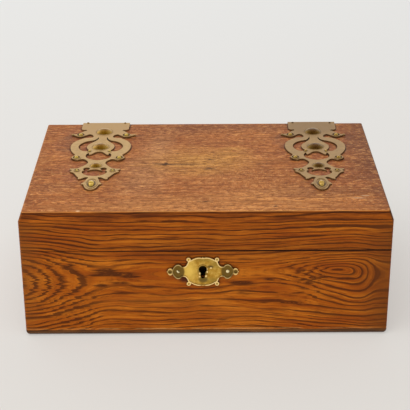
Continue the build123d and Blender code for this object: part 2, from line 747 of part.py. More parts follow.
# ================================================================ lid: straps
def strap_plan():
    """Plan of a pierced strap, its back edge on the X axis and its tip forwards.

    One half is drawn and mirrored. The runs below follow the edge from the back: plain plate,
    notch, arm with its leaf tip, crook, ring, lobe, neck, shoulder, leaf corner, barb and flower.
    """
    with BuildSketch() as plan:
        with BuildLine():
            Line((0, -3), (25.5, -3))
            Line((25.5, -3), (25.5, -17))
            ThreePointArc((25.5, -17), (24.6, -20.0), (22.3, -21.3))
            Line((22.3, -21.3), (20.9, -21.3))
            ThreePointArc((20.9, -21.3), (19.3, -22.9), (20.9, -24.5))
            Spline((20.9, -24.5), (24.6, -29.4), (28.2, -33.4), (32.3, -34.4))
            Line((32.3, -34.4), (32.3, -36.4))
            Spline((32.3, -36.4), (29.0, -39.0), (24.6, -41.4), (20.4, -39.4), (17.0, -35.6), (14.6, -34.2))
            Spline((14.6, -34.2), (12.2, -35.8), (10.5, -39.2), (10.6, -42.2))
            Spline((10.6, -42.2), (13.4, -44.2), (16.8, -44.4), (20.8, -46.6))
            Spline((20.8, -46.6), (25.4, -51.2), (30.2, -60.0), (31.4, -68.3), (29.6, -80.0), (24.4, -90.6))
            Spline((24.4, -90.6), (25.4, -94.6), (27.6, -97.4))
            Spline((27.6, -97.4), (25.6, -101.0), (20.3, -105.4))
            Spline((20.3, -105.4), (17.8, -103.2), (14.8, -102.4), (11.4, -105.3), (9.0, -110.0), (8.7, -113.0))
            Spline((8.7, -113.0), (10.5, -117.2), (13.4, -122.0), (17.2, -126.2))
            Spline((17.2, -126.2), (20.4, -127.2), (25.4, -127.2))
            Spline((25.4, -127.2), (24.4, -129.8), (21.8, -131.4))
            Spline((21.8, -131.4), (23.4, -132.6), (24.4, -134.9))
            Spline((24.4, -134.9), (20.8, -137.6), (18.6, -141.4), (14.6, -149.2))
            Line((14.6, -149.2), (14.6, -153.2))
            Spline((14.6, -153.2), (11.6, -152.4), (8.8, -149.6), (5.6, -148.8))
            Line((5.6, -148.8), (4.4, -150.6))
            Spline((4.4, -150.6), (6.2, -154.4), (7.2, -159.2), (9.9, -163.6))
            Line((9.9, -163.6), (9.7, -165.4))
            Line((9.7, -165.4), (7.6, -166.0))
            Spline((7.6, -166.0), (6.4, -171.0), (3.2, -177.0), (0, -178.4))
            mirror(about=Plane.YZ)
        make_face()
        with Locations(arm_spot, (-arm_spot[0], arm_spot[1])):
            Circle(arm_ball)
        # crescents beside the bulb, each running up into a narrow slit
        for flip in (1, -1):
            with BuildLine():
                Spline(*[(flip * u, v) for u, v in crescent_outside])
                Spline(*[(flip * u, v) for u, v in crescent_bottom])
                Spline(*[(flip * u, v) for u, v in crescent_inside])
            make_face(mode=Mode.SUBTRACT)
        # opening below the bulb
        with BuildLine():
            Spline((0, -82.5), (3.6, -84.0), (6.4, -87.8), (9.0, -90.8))
            Spline((9.0, -90.8), (10.0, -90.4), (10.3, -87.4), (11.3, -87.0))
            Spline((11.3, -87.0), (13.2, -93.2), (12.0, -98.6), (6.8, -103.4), (0, -105.8))
            mirror(about=Plane.YZ)
        make_face(mode=Mode.SUBTRACT)
        # opening of the triangle, with the tongue hanging into it
        with BuildLine():
            Spline((0, -128.8), (3.4, -129.8), (7.6, -132.8))
            Spline((7.6, -132.8), (6.4, -130.6), (5.2, -127.6), (5.9, -125.6))
            Spline((5.9, -125.6), (8.2, -124.4), (10.9, -125.6))
            Spline((10.9, -125.6), (11.9, -128.4), (10.4, -131.8))
            Spline((10.4, -131.8), (12.5, -134.4), (11.4, -139.4), (6.4, -144.4), (0, -145.8))
            mirror(about=Plane.YZ)
        make_face(mode=Mode.SUBTRACT)
    return plan.sketch


arm_ball = 1.5  # ball at the end of each arm
arm_spot = (32.9, -35.4)
ear_ball = 1.4  # ball where the bulb's ears meet the ring
ear_spot = (11.6, -83.9)
crescent_outside = [
    (4.7, -42.0),
    (5.7, -46.6),
    (8.6, -51.0),
    (13.4, -53.2),
    (19.2, -57.8),
    (22.9, -65.6),
    (22.7, -72.8),
    (17.9, -80.9),
]
crescent_bottom = [(17.9, -80.9), (14.4, -81.8), (10.4, -80.2)]
crescent_inside = [(10.4, -80.2), (13.2, -75.0), (14.3, -68.4), (12.3, -62.0), (7.4, -54.6), (4.5, -48.0), (4.7, -42.0)]

# the strap's back flange follows the top board's sloping edge, then the lid's back wall
slope = radians(top_taper)
bend_y = edge_y + strap_thick * (1 - sin(slope)) / cos(slope)
elbow_z = lid_top + strap_thick * tan(slope / 2)
flange_low = parting + knuckle_radius + flange_clear
flange_outline = [
    (edge_y - strap_land, height),
    (edge_y, height),
    (half_d, lid_top),
    (half_d, flange_low),
    (half_d + strap_thick, flange_low),
    (half_d + strap_thick, elbow_z),
    (bend_y, height + strap_thick),
    (edge_y - strap_land, height + strap_thick),
]

for name in strap_names:
    x = strap_spots[name]

    with BuildPart() as strap:
        with BuildSketch(Plane.YZ.offset(x - half_strap)):
            with BuildLine():
                Polyline(*flange_outline, close=True)
            make_face()
        extrude(amount=strap_width)
        fillet(strap.edges().filter_by(Axis.X).sort_by(Axis.Z)[-2:].sort_by(Axis.Y)[-1], strap_edge_round)
        with BuildSketch(strap_plane(name)):
            add(strap_plan())
        extrude(amount=strap_thick)
        # balls cast on the arms' ends and on the bulb's ears
        with Locations(strap_plane(name).offset(strap_thick)):
            with Locations(arm_spot, (-arm_spot[0], arm_spot[1])):
                Sphere(arm_ball, arc_size1=0)
            with Locations(ear_spot, (-ear_spot[0], ear_spot[1])):
                Sphere(ear_ball, arc_size1=0)
        for start in outer_spots:
            add(knuckle(side_plane(x + start), outer_length, 1))
            add(heel(side_plane(x + start), outer_length, lid_heel))
        with Locations(strap_plane(name)):
            for spots, sizes in strap_studs:
                with Locations(*spots):
                    Cylinder(sizes[2] + shank_fit, 4 * strap_thick, mode=Mode.SUBTRACT)
        for spot in flange_nail_spots:
            with Locations(flange_plane(x, spot)):
                Cylinder(flange_nail[2] + shank_fit, 4 * strap_thick, mode=Mode.SUBTRACT)
    strap.part.label = f"strap_{name}"
    export_step(strap.part, f"parts/strap_{name}.step")

# ================================================================ lid: studs, pins and nails
for label, spots, sizes in (
    ("large_studs", large_spots, large_stud),
    ("neck_studs", neck_spots, neck_stud),
    ("tip_studs", tip_spots, tip_stud),
    ("scroll_pins", scroll_spots, scroll_pin),
    ("leaf_pins", leaf_spots, leaf_pin),
):
    with BuildPart() as studs:
        for name in strap_names:
            with Locations(strap_plane(name).offset(strap_thick)):
                with Locations(*spots):
                    add(domed_nail(sizes))
    studs.part.label = label
    export_step(studs.part, f"parts/{label}.step")

with BuildPart() as flange_nails:
    for x in strap_spots.values():
        for spot in flange_nail_spots:
            with Locations(flange_plane(x, spot)):
                add(domed_nail(flange_nail))
flange_nails.part.label = "flange_nails"
export_step(flange_nails.part, "parts/flange_nails.step")

# ================================================================ lid: link plate
with BuildPart() as link_plate:
    with BuildSketch(link_plane):
        Rectangle(link_plate_size[0], link_plate_size[1])
    extrude(amount=-link_plate_size[2])
    # two loops that hang down into the lock, open along X for the bolt's tongues
    for x in loop_spots:
        with BuildSketch(Plane.YZ.offset(lock_x + x - loop_thick / 2)):
            with Locations((-inner_y - bolt_middle, parting + selvedge_sink - (loop_drop + 2 * selvedge_sink) / 2)):
                Rectangle(loop_width, loop_drop + 2 * selvedge_sink)
            with Locations((-inner_y - bolt_middle, parting + window_bottom + loop_window[1] / 2)):
                Rectangle(*loop_window, mode=Mode.SUBTRACT)
        extrude(amount=loop_thick)
    with Locations(link_plane):
        with Locations((-link_screw_x, 0), (link_screw_x, 0)):
            add(screw_hole(shank_fit), mode=Mode.SUBTRACT)
link_plate.part.label = "link_plate"
export_step(link_plate.part, "parts/link_plate.step")

with BuildPart() as link_plate_screws:
    with Locations(link_plane):
        with Locations((-link_screw_x, 0), (link_screw_x, 0)):
            add(countersunk_screw())
link_plate_screws.part.label = "link_plate_screws"
export_step(link_plate_screws.part, "parts/link_plate_screws.step")
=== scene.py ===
# %% [markdown]
# # A stationery box with pierced brass strap hinges
# The box comes in as a packed, jointed model: walls, boards, straps, studs, lock and pins, each
# a separate node in metres. This lesson gives every node its finish, adds the small raised work
# that is too fine to be worth machining as solids, and sets up a plain studio around it.

# %% Load the box
import json
import math

import bmesh
import bpy
from mathutils import Matrix, Vector


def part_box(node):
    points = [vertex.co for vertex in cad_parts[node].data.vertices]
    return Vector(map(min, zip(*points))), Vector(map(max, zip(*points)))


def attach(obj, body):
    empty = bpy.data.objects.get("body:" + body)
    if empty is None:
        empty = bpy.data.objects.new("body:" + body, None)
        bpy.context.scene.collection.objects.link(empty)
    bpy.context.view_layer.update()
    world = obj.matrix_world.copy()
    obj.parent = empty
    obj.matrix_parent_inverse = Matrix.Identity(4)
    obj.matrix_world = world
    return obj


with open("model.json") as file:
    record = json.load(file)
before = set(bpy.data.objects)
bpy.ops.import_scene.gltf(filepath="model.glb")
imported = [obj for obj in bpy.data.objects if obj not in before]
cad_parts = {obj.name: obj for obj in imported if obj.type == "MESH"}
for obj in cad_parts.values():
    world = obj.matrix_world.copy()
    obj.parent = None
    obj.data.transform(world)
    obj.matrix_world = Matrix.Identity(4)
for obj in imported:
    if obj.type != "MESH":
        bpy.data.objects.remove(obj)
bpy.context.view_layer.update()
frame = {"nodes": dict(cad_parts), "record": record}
nodes = frame["nodes"]

# %% [markdown]
# ## Camera
# A box this low and wide is usually shown from a little above and from far away, so that its
# upright edges stay nearly parallel. A long lens does that. It could be placed with a Track To
# constraint, but a fixed matrix keeps the frame the same in every render.

# %% Camera
MM = 0.001  # metres
SENSOR, PICTURE, FOCAL_PIXELS = 36.0, 410, 1197.1412  # mm, picture elements across, and focus
EYE = Vector((-2.24081, -1116.99578, 605.35927)) * MM
PITCH, YAW, ROLL = 0.43577, -0.00146, -0.00481  # radians: down, to the left and clockwise
FURTHEST = 50.0  # metres that the camera sees

camera_data = bpy.data.cameras.new("camera")
camera_data.sensor_width = SENSOR
camera_data.lens = FOCAL_PIXELS / PICTURE * SENSOR
camera_data.clip_end = FURTHEST
camera = bpy.data.objects.new("camera", camera_data)
camera.matrix_world = (
    Matrix.Translation(EYE)
    @ Matrix.Rotation(YAW, 4, "Z")
    @ Matrix.Rotation(math.pi / 2 - PITCH, 4, "X")
    @ Matrix.Rotation(ROLL, 4, "Z")
)
bpy.context.scene.collection.objects.link(camera)
bpy.context.scene.camera = camera
print("lens:", round(camera_data.lens, 1), "mm")

# %% [markdown]
# ## Two small tools for materials
# Colours are easiest to think of as the hex values of a paint chart, but shaders work in linear
# light, so one function turns one into the other. A second one adds a node to a material with
# its settings and whatever feeds it, which keeps every recipe below short enough to read. In it a
# socket goes by its name or its number. In a colour Mix, 0 is the share, 6 what lies below and 7
# what is laid over it. In a Map Range, 1 and 2 are the range that comes in, and 3 and 4 the range
# that goes out, which is 0 to 1 where nothing is said.


# %% Colour and node helpers
def hex_colour(code):
    """Linear RGBA from an sRGB hex code such as '#C88A3C'."""
    values = [int(code[i : i + 2], 16) / 255 for i in (1, 3, 5)]
    return [v / 12.92 if v <= 0.04045 else ((v + 0.055) / 1.055) ** 2.4 for v in values] + [1.0]


def add(tree, kind, inputs=None, stops=None, points=None, **settings):
    """A shader node with its settings. inputs maps a socket to a number, a hex colour or what
    feeds it. stops are a ramp's (place, hex colour), and points a curve's (x, y)."""
    node = tree.nodes.new("ShaderNode" + kind)
    for name, value in settings.items():
        setattr(node, name, value)
    if stops:
        stops, marks = list(stops), node.color_ramp.elements
        while len(marks) < len(stops):
            marks.new(1.0)
        for mark, (place, colour) in zip(marks, stops):
            mark.position, mark.color = place, hex_colour(colour)
    if points:
        marks = node.mapping.curves[0].points
        while len(marks) < len(points):
            marks.new(0.5, 0.5)
        for mark, place in zip(marks, points):
            mark.location = place
        node.mapping.update()
    for socket, value in (inputs or {}).items():
        if isinstance(value, bpy.types.Node):
            value = next(output for output in value.outputs if output.enabled)
        if isinstance(value, bpy.types.NodeSocket):
            tree.links.new(value, node.inputs[socket])
        else:
            value = hex_colour(value) if isinstance(value, str) else value
            node.inputs[socket].default_value = value
    return node


def new_material(name):
    """An empty material with its output, ready for a shader, and its node tree."""
    material = bpy.data.materials.new(name)
    material.use_nodes = True
    material.node_tree.nodes.clear()
    return material, material.node_tree


def finish_material(material, shader):
    """Wires the last shader to the output and hands the material back."""
    add(material.node_tree, "OutputMaterial", {"Surface": shader})
    print("material:", material.name, "with", len(material.node_tree.nodes), "nodes")
    return material


# %% [markdown]
# ## The studio
# The box stands on a pale sweep of paper. One plain plane does for it, because the camera looks
# down and never sees where it ends. Part of its brightness is a glow of its own that only the
# camera and reflections see: it thins the shadow without lighting the box. In the brass the paper
# shows whiter than it looks, so that the metal has something pale to mirror. A wide soft lamp,
# high up in front, lights the lid and the front evenly, and a weak one behind on the left draws
# the back edges. The world fills in the rest: it is brighter behind than in front, as in a room
# with white walls behind the table, and brass needs that difference to look like brass. It is
# lighter again at both sides and low down, or brass seen from an end would mirror nothing but
# dark.

# %% Studio
# the paper's colour and glow are painted darker in front and paler towards the back: a painted
# fall of light
FLOOR_NEAR, FLOOR_FAR = "#DAD7D2", "#F4F4F2"
GLOW_NEAR, GLOW_FAR, SEEN_SHARE = "#DBD6D0", "#F4F4F2", 0.55
MIRRORED, MIRRORED_SHARE = "#FAF8F4", 0.95
FLOOR_REACH, FLOOR_DROP = 6, 0.2 * MM  # metres to each side, and below the box's foot
corners = [(x * FLOOR_REACH, y * FLOOR_REACH, 0) for x, y in ((-1, -1), (1, -1), (1, 1), (-1, 1))]
floor_mesh = bpy.data.meshes.new("floor")
floor_mesh.from_pydata(corners, [], [(0, 1, 2, 3)])
floor = bpy.data.objects.new("floor", floor_mesh)
floor.location.z = -FLOOR_DROP
bpy.context.scene.collection.objects.link(floor)
paper, tree = new_material("matt_paper_sweep")
spot = add(tree, "TexCoord")
depth = add(tree, "SeparateXYZ", {0: spot.outputs["Object"]})
away = add(tree, "MapRange", {0: depth.outputs[1], 1: -0.3, 2: 1.4})
colour = add(tree, "Mix", {0: away, 6: FLOOR_NEAR, 7: FLOOR_FAR}, data_type="RGBA")
matt = add(
    tree,
    "BsdfPrincipled",
    {"Base Color": colour, "Roughness": 0.9, "Specular IOR Level": 0.1},
)
lit = add(tree, "Mix", {0: away, 6: GLOW_NEAR, 7: GLOW_FAR}, data_type="RGBA")
ray = add(tree, "LightPath")
lit = add(tree, "Mix", {0: ray.outputs["Is Glossy Ray"], 6: lit, 7: MIRRORED}, data_type="RGBA")
glow = add(tree, "Emission", {"Color": lit, "Strength": 1.0})
seen = add(tree, "Math", {0: ray.outputs["Is Camera Ray"], 1: SEEN_SHARE}, operation="MULTIPLY")
mirrored = add(
    tree,
    "Math",
    {0: ray.outputs["Is Glossy Ray"], 1: MIRRORED_SHARE},
    operation="MULTIPLY",
)
share = add(tree, "Math", {0: seen, 1: mirrored}, operation="MAXIMUM")
shader = add(tree, "MixShader", {0: share, 1: matt, 2: glow})
floor.data.materials.append(finish_material(paper, shader))


def soft_lamp(name, place, aim, size, power):
    """A square white area lamp at place, turned to aim. Metres and watts."""
    data = bpy.data.lights.new(name, "AREA")
    data.shape, data.size, data.energy = "SQUARE", size, power
    lamp = bpy.data.objects.new(name, data)
    lamp.location = place
    direction = Vector(aim) - Vector(place)
    lamp.rotation_euler = direction.to_track_quat("-Z", "Y").to_euler()
    bpy.context.scene.collection.objects.link(lamp)
    return lamp


WALLS_FRONT, WALLS_BACK, WALLS_SIDE, HORIZON = 0.27, 0.86, 0.5, 0.52  # how bright each is
soft_lamp("overhead_lamp", (-0.5, -1.0, 2.0), (0, 0, 0.05), 2.6, 55).visible_glossy = False
soft_lamp("window_lamp", (-1.6, 1.6, 1.5), (0, 0, 0.1), 1.2, 3)

world = bpy.data.worlds.new("studio_walls")
bpy.context.scene.world = world
world.use_nodes = True
tree = world.node_tree
tree.nodes.clear()
direction = add(tree, "TexCoord")
along = add(tree, "SeparateXYZ", {0: direction.outputs["Generated"]})
walls = add(
    tree,
    "MapRange",
    {0: along.outputs[1], 2: 0.85, 3: WALLS_FRONT, 4: WALLS_BACK},
    interpolation_type="SMOOTHSTEP",
)
aside = add(tree, "Math", {0: along.outputs[0]}, operation="ABSOLUTE")
aside = add(tree, "MapRange", {0: aside, 1: 0.4, 2: 0.9, 4: WALLS_SIDE})
walls = add(tree, "Math", {0: walls, 1: aside}, operation="MAXIMUM")
low = add(tree, "MapRange", {0: along.outputs[2], 1: 0.2, 2: 0.6, 3: HORIZON, 4: 0.0})
walls = add(tree, "Math", {0: walls, 1: low}, operation="MAXIMUM")
light = add(tree, "Background", {"Color": "#FFFFFF", "Strength": walls})
add(tree, "OutputWorld", {"Surface": light})
bpy.context.scene.view_settings.view_transform = "Standard"
print("studio: floor, 2 lamps, walls")

# %% [markdown]
# ## Patterns measured in millimetres
# Grain, dirt and tarnish are uneven, and each has a size that can be measured. Noise does for all
# of them, as long as its patches come out in millimetres: the place on the box, which is in
# metres, is multiplied by 1000, and the scale of a noise is one over the length of its patches.
# Patterns painted on unwrapped faces would do too, but they would stop at every seam.


# %% Places and patches
def millimetres(tree):
    """The point on the rested box in millimetres, and that as three numbers."""
    place = add(tree, "TexCoord")
    scaled = add(
        tree,
        "VectorMath",
        {0: place.outputs["Object"], 1: [1 / MM] * 3},
        operation="MULTIPLY",
    )
    return scaled, add(tree, "SeparateXYZ", {0: scaled})


def patches(tree, vector, size, detail=2.0, roughness=0.5, offset=(0, 0, 0), between=None):
    """Noise whose patches are about size millimetres along X, Y and Z. between, as (low, high,
    least, most), stretches the noise values from low to high to run from least to most."""
    place = add(
        tree,
        "Mapping",
        {"Vector": vector, "Scale": [1 / s for s in size], "Location": offset},
    )
    noise = add(
        tree,
        "TexNoise",
        {"Vector": place, "Scale": 1.0, "Detail": detail, "Roughness": roughness},
    )
    if between is None:
        return noise
    low, high, least, most = between
    return add(tree, "MapRange", {0: noise, 1: low, 2: high, 3: least, 4: most})


# %% [markdown]
# ## Figured oak
# The front is one wide oak board, sawn so that the growth rings run out through its face: they
# show as long lines, as a row of pointed arches at the left end and as a closed eye at the right
# end. The pattern could be painted, but rings are easy to make as geometry. A tree is a set of
# shells around its pith. A board cut at a depth D from a pith at height c shows, at each point,
# the shell of radius sqrt((z - c)^2 + D^2). Where the pith dips towards the face, D is small and
# the shells close into an eye; where D grows, the lines run straight. So two curves along the
# board, for D and for c, are enough to draw the whole figure.

# %% Curves along the boards
REACH = 180.0  # mm to each side of the middle that the curves along a board cover
DEPTH_SCALE = 30.0  # mm, the largest value that the curves hold
RING_CENTRE = 60.0  # mm from the floor up to the pith
SHIFT_CENTRE, SHIFT_REACH = 62.0, 22.0  # mm from the floor, and how far from there it is felt
PLAINER_UP, PLAINER = (84.0, 108.0), 0.25  # mm from the floor between which the figure fades
ARCH_REACH = 12.0  # mm from the pith within which the arches are blunted
# Each curve is a list of (mm along the board, value). Depth and shift are D and c in mm, c as
# measured from the pith. Comb is how far, in mm, the rays drag the rings to and fro. Round is how
# many mm an arch is blunted by. Where calm is 1, the wood beside the pith has no lines; where bold
# is 1, lines are whole, and elsewhere they are dashes.
FRONT_DEPTH = [
    (-180, 3), (-165, 8), (-152, 12), (-140, 16), (-121, 20), (-100, 22), (-60, 18.5),
    (0, 17.5), (60, 16.5), (80, 14.2), (94, 11), (106, 7), (115, 3.2), (124, 1), (134, 2.5),
    (143, 6), (151, 10.5), (157, 14.5), (164, 17), (180, 18),
]  # fmt: skip
FRONT_SHIFT = [
    (-180, -3), (-150, -2), (-130, -1), (-115, 1), (-100, 3.5), (-70, 7), (-40, 8.5), (0, 9),
    (40, 11), (80, 12.5), (125, 11.5), (150, 8), (180, 5),
]  # fmt: skip
FRONT_CALM = [(-180, 0), (-118, 0), (-98, 1), (58, 1), (76, 0), (180, 0)]
FRONT_COMB = [(-180, 3.6), (-100, 4), (0, 4), (80, 5), (105, 3.5), (120, 1), (180, 1.2)]
FRONT_ROUND = [
    (-180, 9), (-150, 8), (-124, 5), (-95, 0), (118, 0), (142, 3.5), (162, 7), (180, 7),
]  # fmt: skip
FRONT_BOLD = [(-180, 1), (-116, 1), (-92, 0), (84, 0), (108, 0.7), (158, 0.7), (180, 0.2)]
FRONT_FLECKS = [  # mm along the board, mm up, half length and half height
    (-95, 70.6, 12, 3.2), (-86, 67.2, 22, 2.6), (-73, 64.8, 10, 2.2), (-103, 66, 8, 1.2),
    (-99, 54.8, 6, 2), (-82, 57.6, 9, 1.3), (-129, 75, 4.5, 4), (33, 57.2, 12, 2.3),
    (60, 61, 5, 1.9), (89, 46, 4.5, 1.2), (81, 72.5, 4, 1.6), (87, 68.5, 3, 2.4),
    (92, 70.5, 2.5, 2), (96, 66, 3, 2), (101, 62, 2.4, 3.4), (92, 60, 6, 1), (112, 63, 7, 1.3),
    (133, 61.2, 10, 1.5), (98, 57, 5, 1.6), (15, 17, 6, 1.2),
]  # fmt: skip
SIDE_FLECKS = [(40, 66, 10, 2), (-52, 40, 12, 1.6)]
LEVEL, SIDE_COMB = [(-180, 0), (180, 0)], [(-180, 6), (180, 6)]
SIDE_DEPTH = [(-180, 26), (-90, 20), (-40, 9), (0, 4), (30, 8), (80, 18), (180, 25)]
SIDE_SHIFT = [(-180, 6), (-60, 3), (0, -4), (60, 0), (180, 8)]
print("curves of the front:", len(FRONT_DEPTH), "and", len(FRONT_SHIFT), "points")


# %% Radius of the rings
def board_curve(tree, along, points):
    """A length in mm, read from a curve of (mm along the board, mm) points."""
    marks = [((x + REACH) / (2 * REACH), 0.5 + y / (2 * DEPTH_SCALE)) for x, y in points]
    curve = add(tree, "FloatCurve", {"Value": along}, points=marks)
    return add(
        tree,
        "Math",
        {0: curve, 1: 2 * DEPTH_SCALE, 2: -DEPTH_SCALE},
        operation="MULTIPLY_ADD",
    )


def ring_radius(tree, vector, along, up, board):
    """Radius of the growth ring at each point of a board, in mm, and how calm and how bold the
    wood is there, 0 to 1. along and up are the sockets that run along the board and up it."""
    straight = add(tree, "MapRange", {0: along, 1: -REACH, 2: REACH})
    low, high = PLAINER_UP
    lower = add(tree, "MapRange", {0: up, 1: low, 2: high, 3: 1.0, 4: PLAINER})
    reach = board_curve(tree, straight, board["comb"])
    reach = add(tree, "Math", {0: reach, 1: lower}, operation="MULTIPLY")
    comb = patches(tree, vector, (34, 34, 1.8), 1.0, 0.6, (3, 1, 7), (0.25, 0.75, -1.0, 1.0))
    combed = add(tree, "Math", {0: comb, 1: reach, 2: along}, operation="MULTIPLY_ADD")
    place = add(tree, "MapRange", {0: combed, 1: -REACH, 2: REACH})
    depth = board_curve(tree, place, board["depth"])
    shift = board_curve(tree, place, board["shift"])
    sway = patches(tree, vector, (60, 60, 22), 1.5, 0.5, (0, 0, 0), (0.2, 0.8, -2.6, 2.6))
    above = add(tree, "Math", {0: up, 1: SHIFT_CENTRE}, operation="SUBTRACT")
    share = add(tree, "Math", {0: above, 1: SHIFT_REACH}, operation="DIVIDE")
    share = add(tree, "Math", {0: share, 1: share}, operation="MULTIPLY")
    share = add(tree, "Math", {0: share, 1: -1.0}, operation="MULTIPLY")
    share = add(tree, "Math", {0: share}, operation="EXPONENT")
    lift = add(tree, "Math", {0: share, 1: shift, 2: sway}, operation="MULTIPLY_ADD")
    height = add(tree, "Math", {0: up, 1: lift}, operation="SUBTRACT")
    height = add(tree, "Math", {0: height, 1: RING_CENTRE}, operation="SUBTRACT")
    low = add(tree, "Math", {0: height}, operation="ABSOLUTE")
    # arches are blunter than the shells of a round tree: heights near the pith count for less
    fade = add(tree, "Math", {0: low, 1: -1 / ARCH_REACH}, operation="MULTIPLY")
    fade = add(tree, "Math", {0: fade}, operation="EXPONENT")
    fade = add(tree, "Math", {0: 1.0, 1: fade}, operation="SUBTRACT")
    blunt = board_curve(tree, place, board["round"])
    blunt = add(tree, "Math", {0: blunt, 1: lower}, operation="MULTIPLY")
    fade = add(tree, "Math", {0: fade, 1: blunt}, operation="MULTIPLY")
    height = add(tree, "Math", {0: low, 1: fade}, operation="SUBTRACT")
    both = add(tree, "CombineXYZ", {0: height, 1: depth})
    radius = add(tree, "VectorMath", {0: both}, operation="LENGTH").outputs["Value"]
    low = add(tree, "MapRange", {0: low, 1: 5.0, 2: 13.0, 3: 1.0, 4: 0.0})
    calm = board_curve(tree, straight, board["calm"])
    calm = add(tree, "Math", {0: low, 1: calm}, operation="MULTIPLY")
    bold = board_curve(tree, straight, board["bold"])
    return radius, calm, add(tree, "Math", {0: bold, 1: lower}, operation="MULTIPLY")


# %% [markdown]
# ## Late wood, pores and flecks
# A ring of oak starts with a row of open pores and ends in dense, dark late wood. On a planed
# board that is a dark line which fades to one side and is broken into dashes by the fibres. The
# radius says where in its ring a point lies, a curve over that draws the line, and noise stretched
# along the grain breaks it up. Where the saw just touched a ring there are ragged flecks. They are
# too few for noise to hit, so they are ellipses, set one by one.

# %% Late wood, pores and flecks
RING_STEP = 4.0  # mm between rings
RING_PROFILE = [(0.0, 0.25), (0.05, 1.0), (0.2, 0.95), (0.38, 0.4), (0.75, 0.1), (1.0, 0.25)]
CRISP_UP, CRISP = (88, 100), 1.45  # mm from the floor between which the lines grow crisper
DARKEST = 0.92
print("rings:", RING_STEP, "mm apart")


def spot_distance(tree, place, spots):
    """Distance to the nearest of some ellipses, 1 on the edge of each. place holds (along, up) as
    X and Y. Each spot is (mm along, mm up, half length, half height)."""
    nearest = None
    for x, z, half_length, half_height in spots:
        scale = (1 / half_length, 1 / half_height, 0)
        offset = (-x / half_length, -z / half_height, 0)
        local = add(tree, "Mapping", {"Vector": place, "Scale": scale, "Location": offset})
        away = add(tree, "VectorMath", {0: local}, operation="LENGTH").outputs["Value"]
        if nearest is not None:
            away = add(tree, "Math", {0: nearest, 1: away}, operation="MINIMUM")
        nearest = away
    return nearest


def flecks(tree, vector, along, up, spots):
    """Dark ragged flecks, 0 to 1, where the saw just touched a ring."""
    ragged = patches(tree, vector, (30, 30, 0.7), 1.0, 0.6, (8, 2, 5), (0.25, 0.75, -6.0, 6.0))
    ragged = add(tree, "Math", {0: along, 1: ragged})
    place = add(tree, "CombineXYZ", {0: ragged, 1: up})
    nearest = spot_distance(tree, place, spots)
    share = add(tree, "MapRange", {0: nearest, 1: 0.75, 2: 1.3, 3: 0.92, 4: 0.0})
    holes = patches(tree, vector, (7, 7, 1.1), 3.0, 0.7, (4, 1, 8), (0.5, 0.66, 1.0, 0.5))
    return add(tree, "Math", {0: share, 1: holes}, operation="MULTIPLY")


def dark_grain(tree, split, radius, calm, bold):
    """How dark the wood is at each point, 0 to 1: late wood lines and open pores. Lines are broken
    into dashes, except where bold is 1. Also gives the point with its ring radius as Z."""
    grown = add(tree, "CombineXYZ", {0: split.outputs[0], 1: split.outputs[1], 2: radius})
    uneven = patches(tree, grown, (300, 300, 8), 1.0, 0.5, (5, 0, 2), (0.2, 0.8, -1.0, 1.0))
    outer = add(tree, "MapRange", {0: radius, 1: 18.0, 2: 34.0, 3: 0.1, 4: 0.6})
    uneven = add(tree, "Math", {0: uneven, 1: outer}, operation="MULTIPLY")
    ring = add(tree, "Math", {0: radius, 1: RING_STEP}, operation="DIVIDE")
    ring = add(tree, "Math", {0: uneven, 1: ring})
    saw = add(tree, "Math", {0: ring}, operation="FRACT")
    late = add(tree, "FloatCurve", {"Value": saw}, points=RING_PROFILE)
    faint = patches(tree, grown, (60, 60, 3.5), 2.0, 0.6, (9, 4, 1), (0.36, 0.52, 0.35, 0.68))
    faint = add(tree, "Mix", {0: bold, 2: faint, 3: 0.7})
    late = add(tree, "Math", {0: late, 1: faint}, operation="MULTIPLY")
    dash = patches(tree, grown, (24, 24, 0.75), 2.0, 0.6, (2, 8, 3), (0.34, 0.66, 0.0, 0.62))
    whole = add(tree, "Math", {0: bold, 1: 0.7}, operation="MULTIPLY")
    dash = add(tree, "Mix", {0: whole, 2: dash, 3: 0.42})
    both = add(tree, "Math", {0: late, 1: dash})
    lines = add(tree, "MapRange", {0: both, 1: 0.56, 2: 0.94, 4: 0.84})
    quiet = add(tree, "MapRange", {0: calm, 3: 1.0, 4: 0.12})
    lines = add(tree, "Math", {0: lines, 1: quiet}, operation="MULTIPLY")
    # the lines are crisper towards the lid, where the saw met the rings more squarely
    low, high = CRISP_UP
    crisp = add(tree, "MapRange", {0: split.outputs[2], 1: low, 2: high, 3: 1.0, 4: CRISP})
    lines = add(tree, "Math", {0: lines, 1: crisp}, operation="MULTIPLY")
    lines = add(tree, "Math", {0: lines, 1: DARKEST}, operation="MINIMUM")
    pores = patches(tree, grown, (11, 11, 0.6), 2.0, 0.7, (6, 1, 4), (0.52, 0.68, 0.0, 0.5))
    return grown, add(tree, "Math", {0: lines, 1: pores}, operation="MAXIMUM")


# %% [markdown]
# ## Stains, dirt and painted shade, and wax
# Three things lie over any old wood. Stains are soft ellipses with a colour of their own. Dirt and
# old wax stay in the corners beside another piece, and the shade that falls there is painted in
# with them: an Ambient Occlusion node finds these corners, so the dark follows a piece that is
# made wider. Wax shines on the face of the board, and less on the late wood and in the pores,
# which lie a little lower. It could all be one painted map, but then no layer could be changed by
# itself.


# %% Stains, dirt and painted shade, and wax
def stain(tree, tone, place, spots, colour, inner, outer, most):
    """Washes colour over tone on some ellipses: most of it inside, none outside."""
    share = add(
        tree,
        "MapRange",
        {0: spot_distance(tree, place, spots), 1: inner, 2: outer, 3: most, 4: 0.0},
    )
    return add(tree, "Mix", {0: share, 6: tone, 7: colour}, data_type="RGBA")


def dirt_and_shade(tree, tone, reach, colour, most=1.0):
    """Lays colour over tone in corners closer than reach metres to another piece: dirt, and
    painted shade where the pieces shade each other. most is its share in the deepest corner, a
    number or what feeds it."""
    shade = add(tree, "AmbientOcclusion", {"Distance": reach}, samples=8)
    open_to = shade.outputs["AO"]
    share = add(tree, "MapRange", {0: open_to, 1: 0.5, 2: 0.92, 3: most, 4: 0.0})
    return add(tree, "Mix", {0: share, 6: tone, 7: colour}, data_type="RGBA")


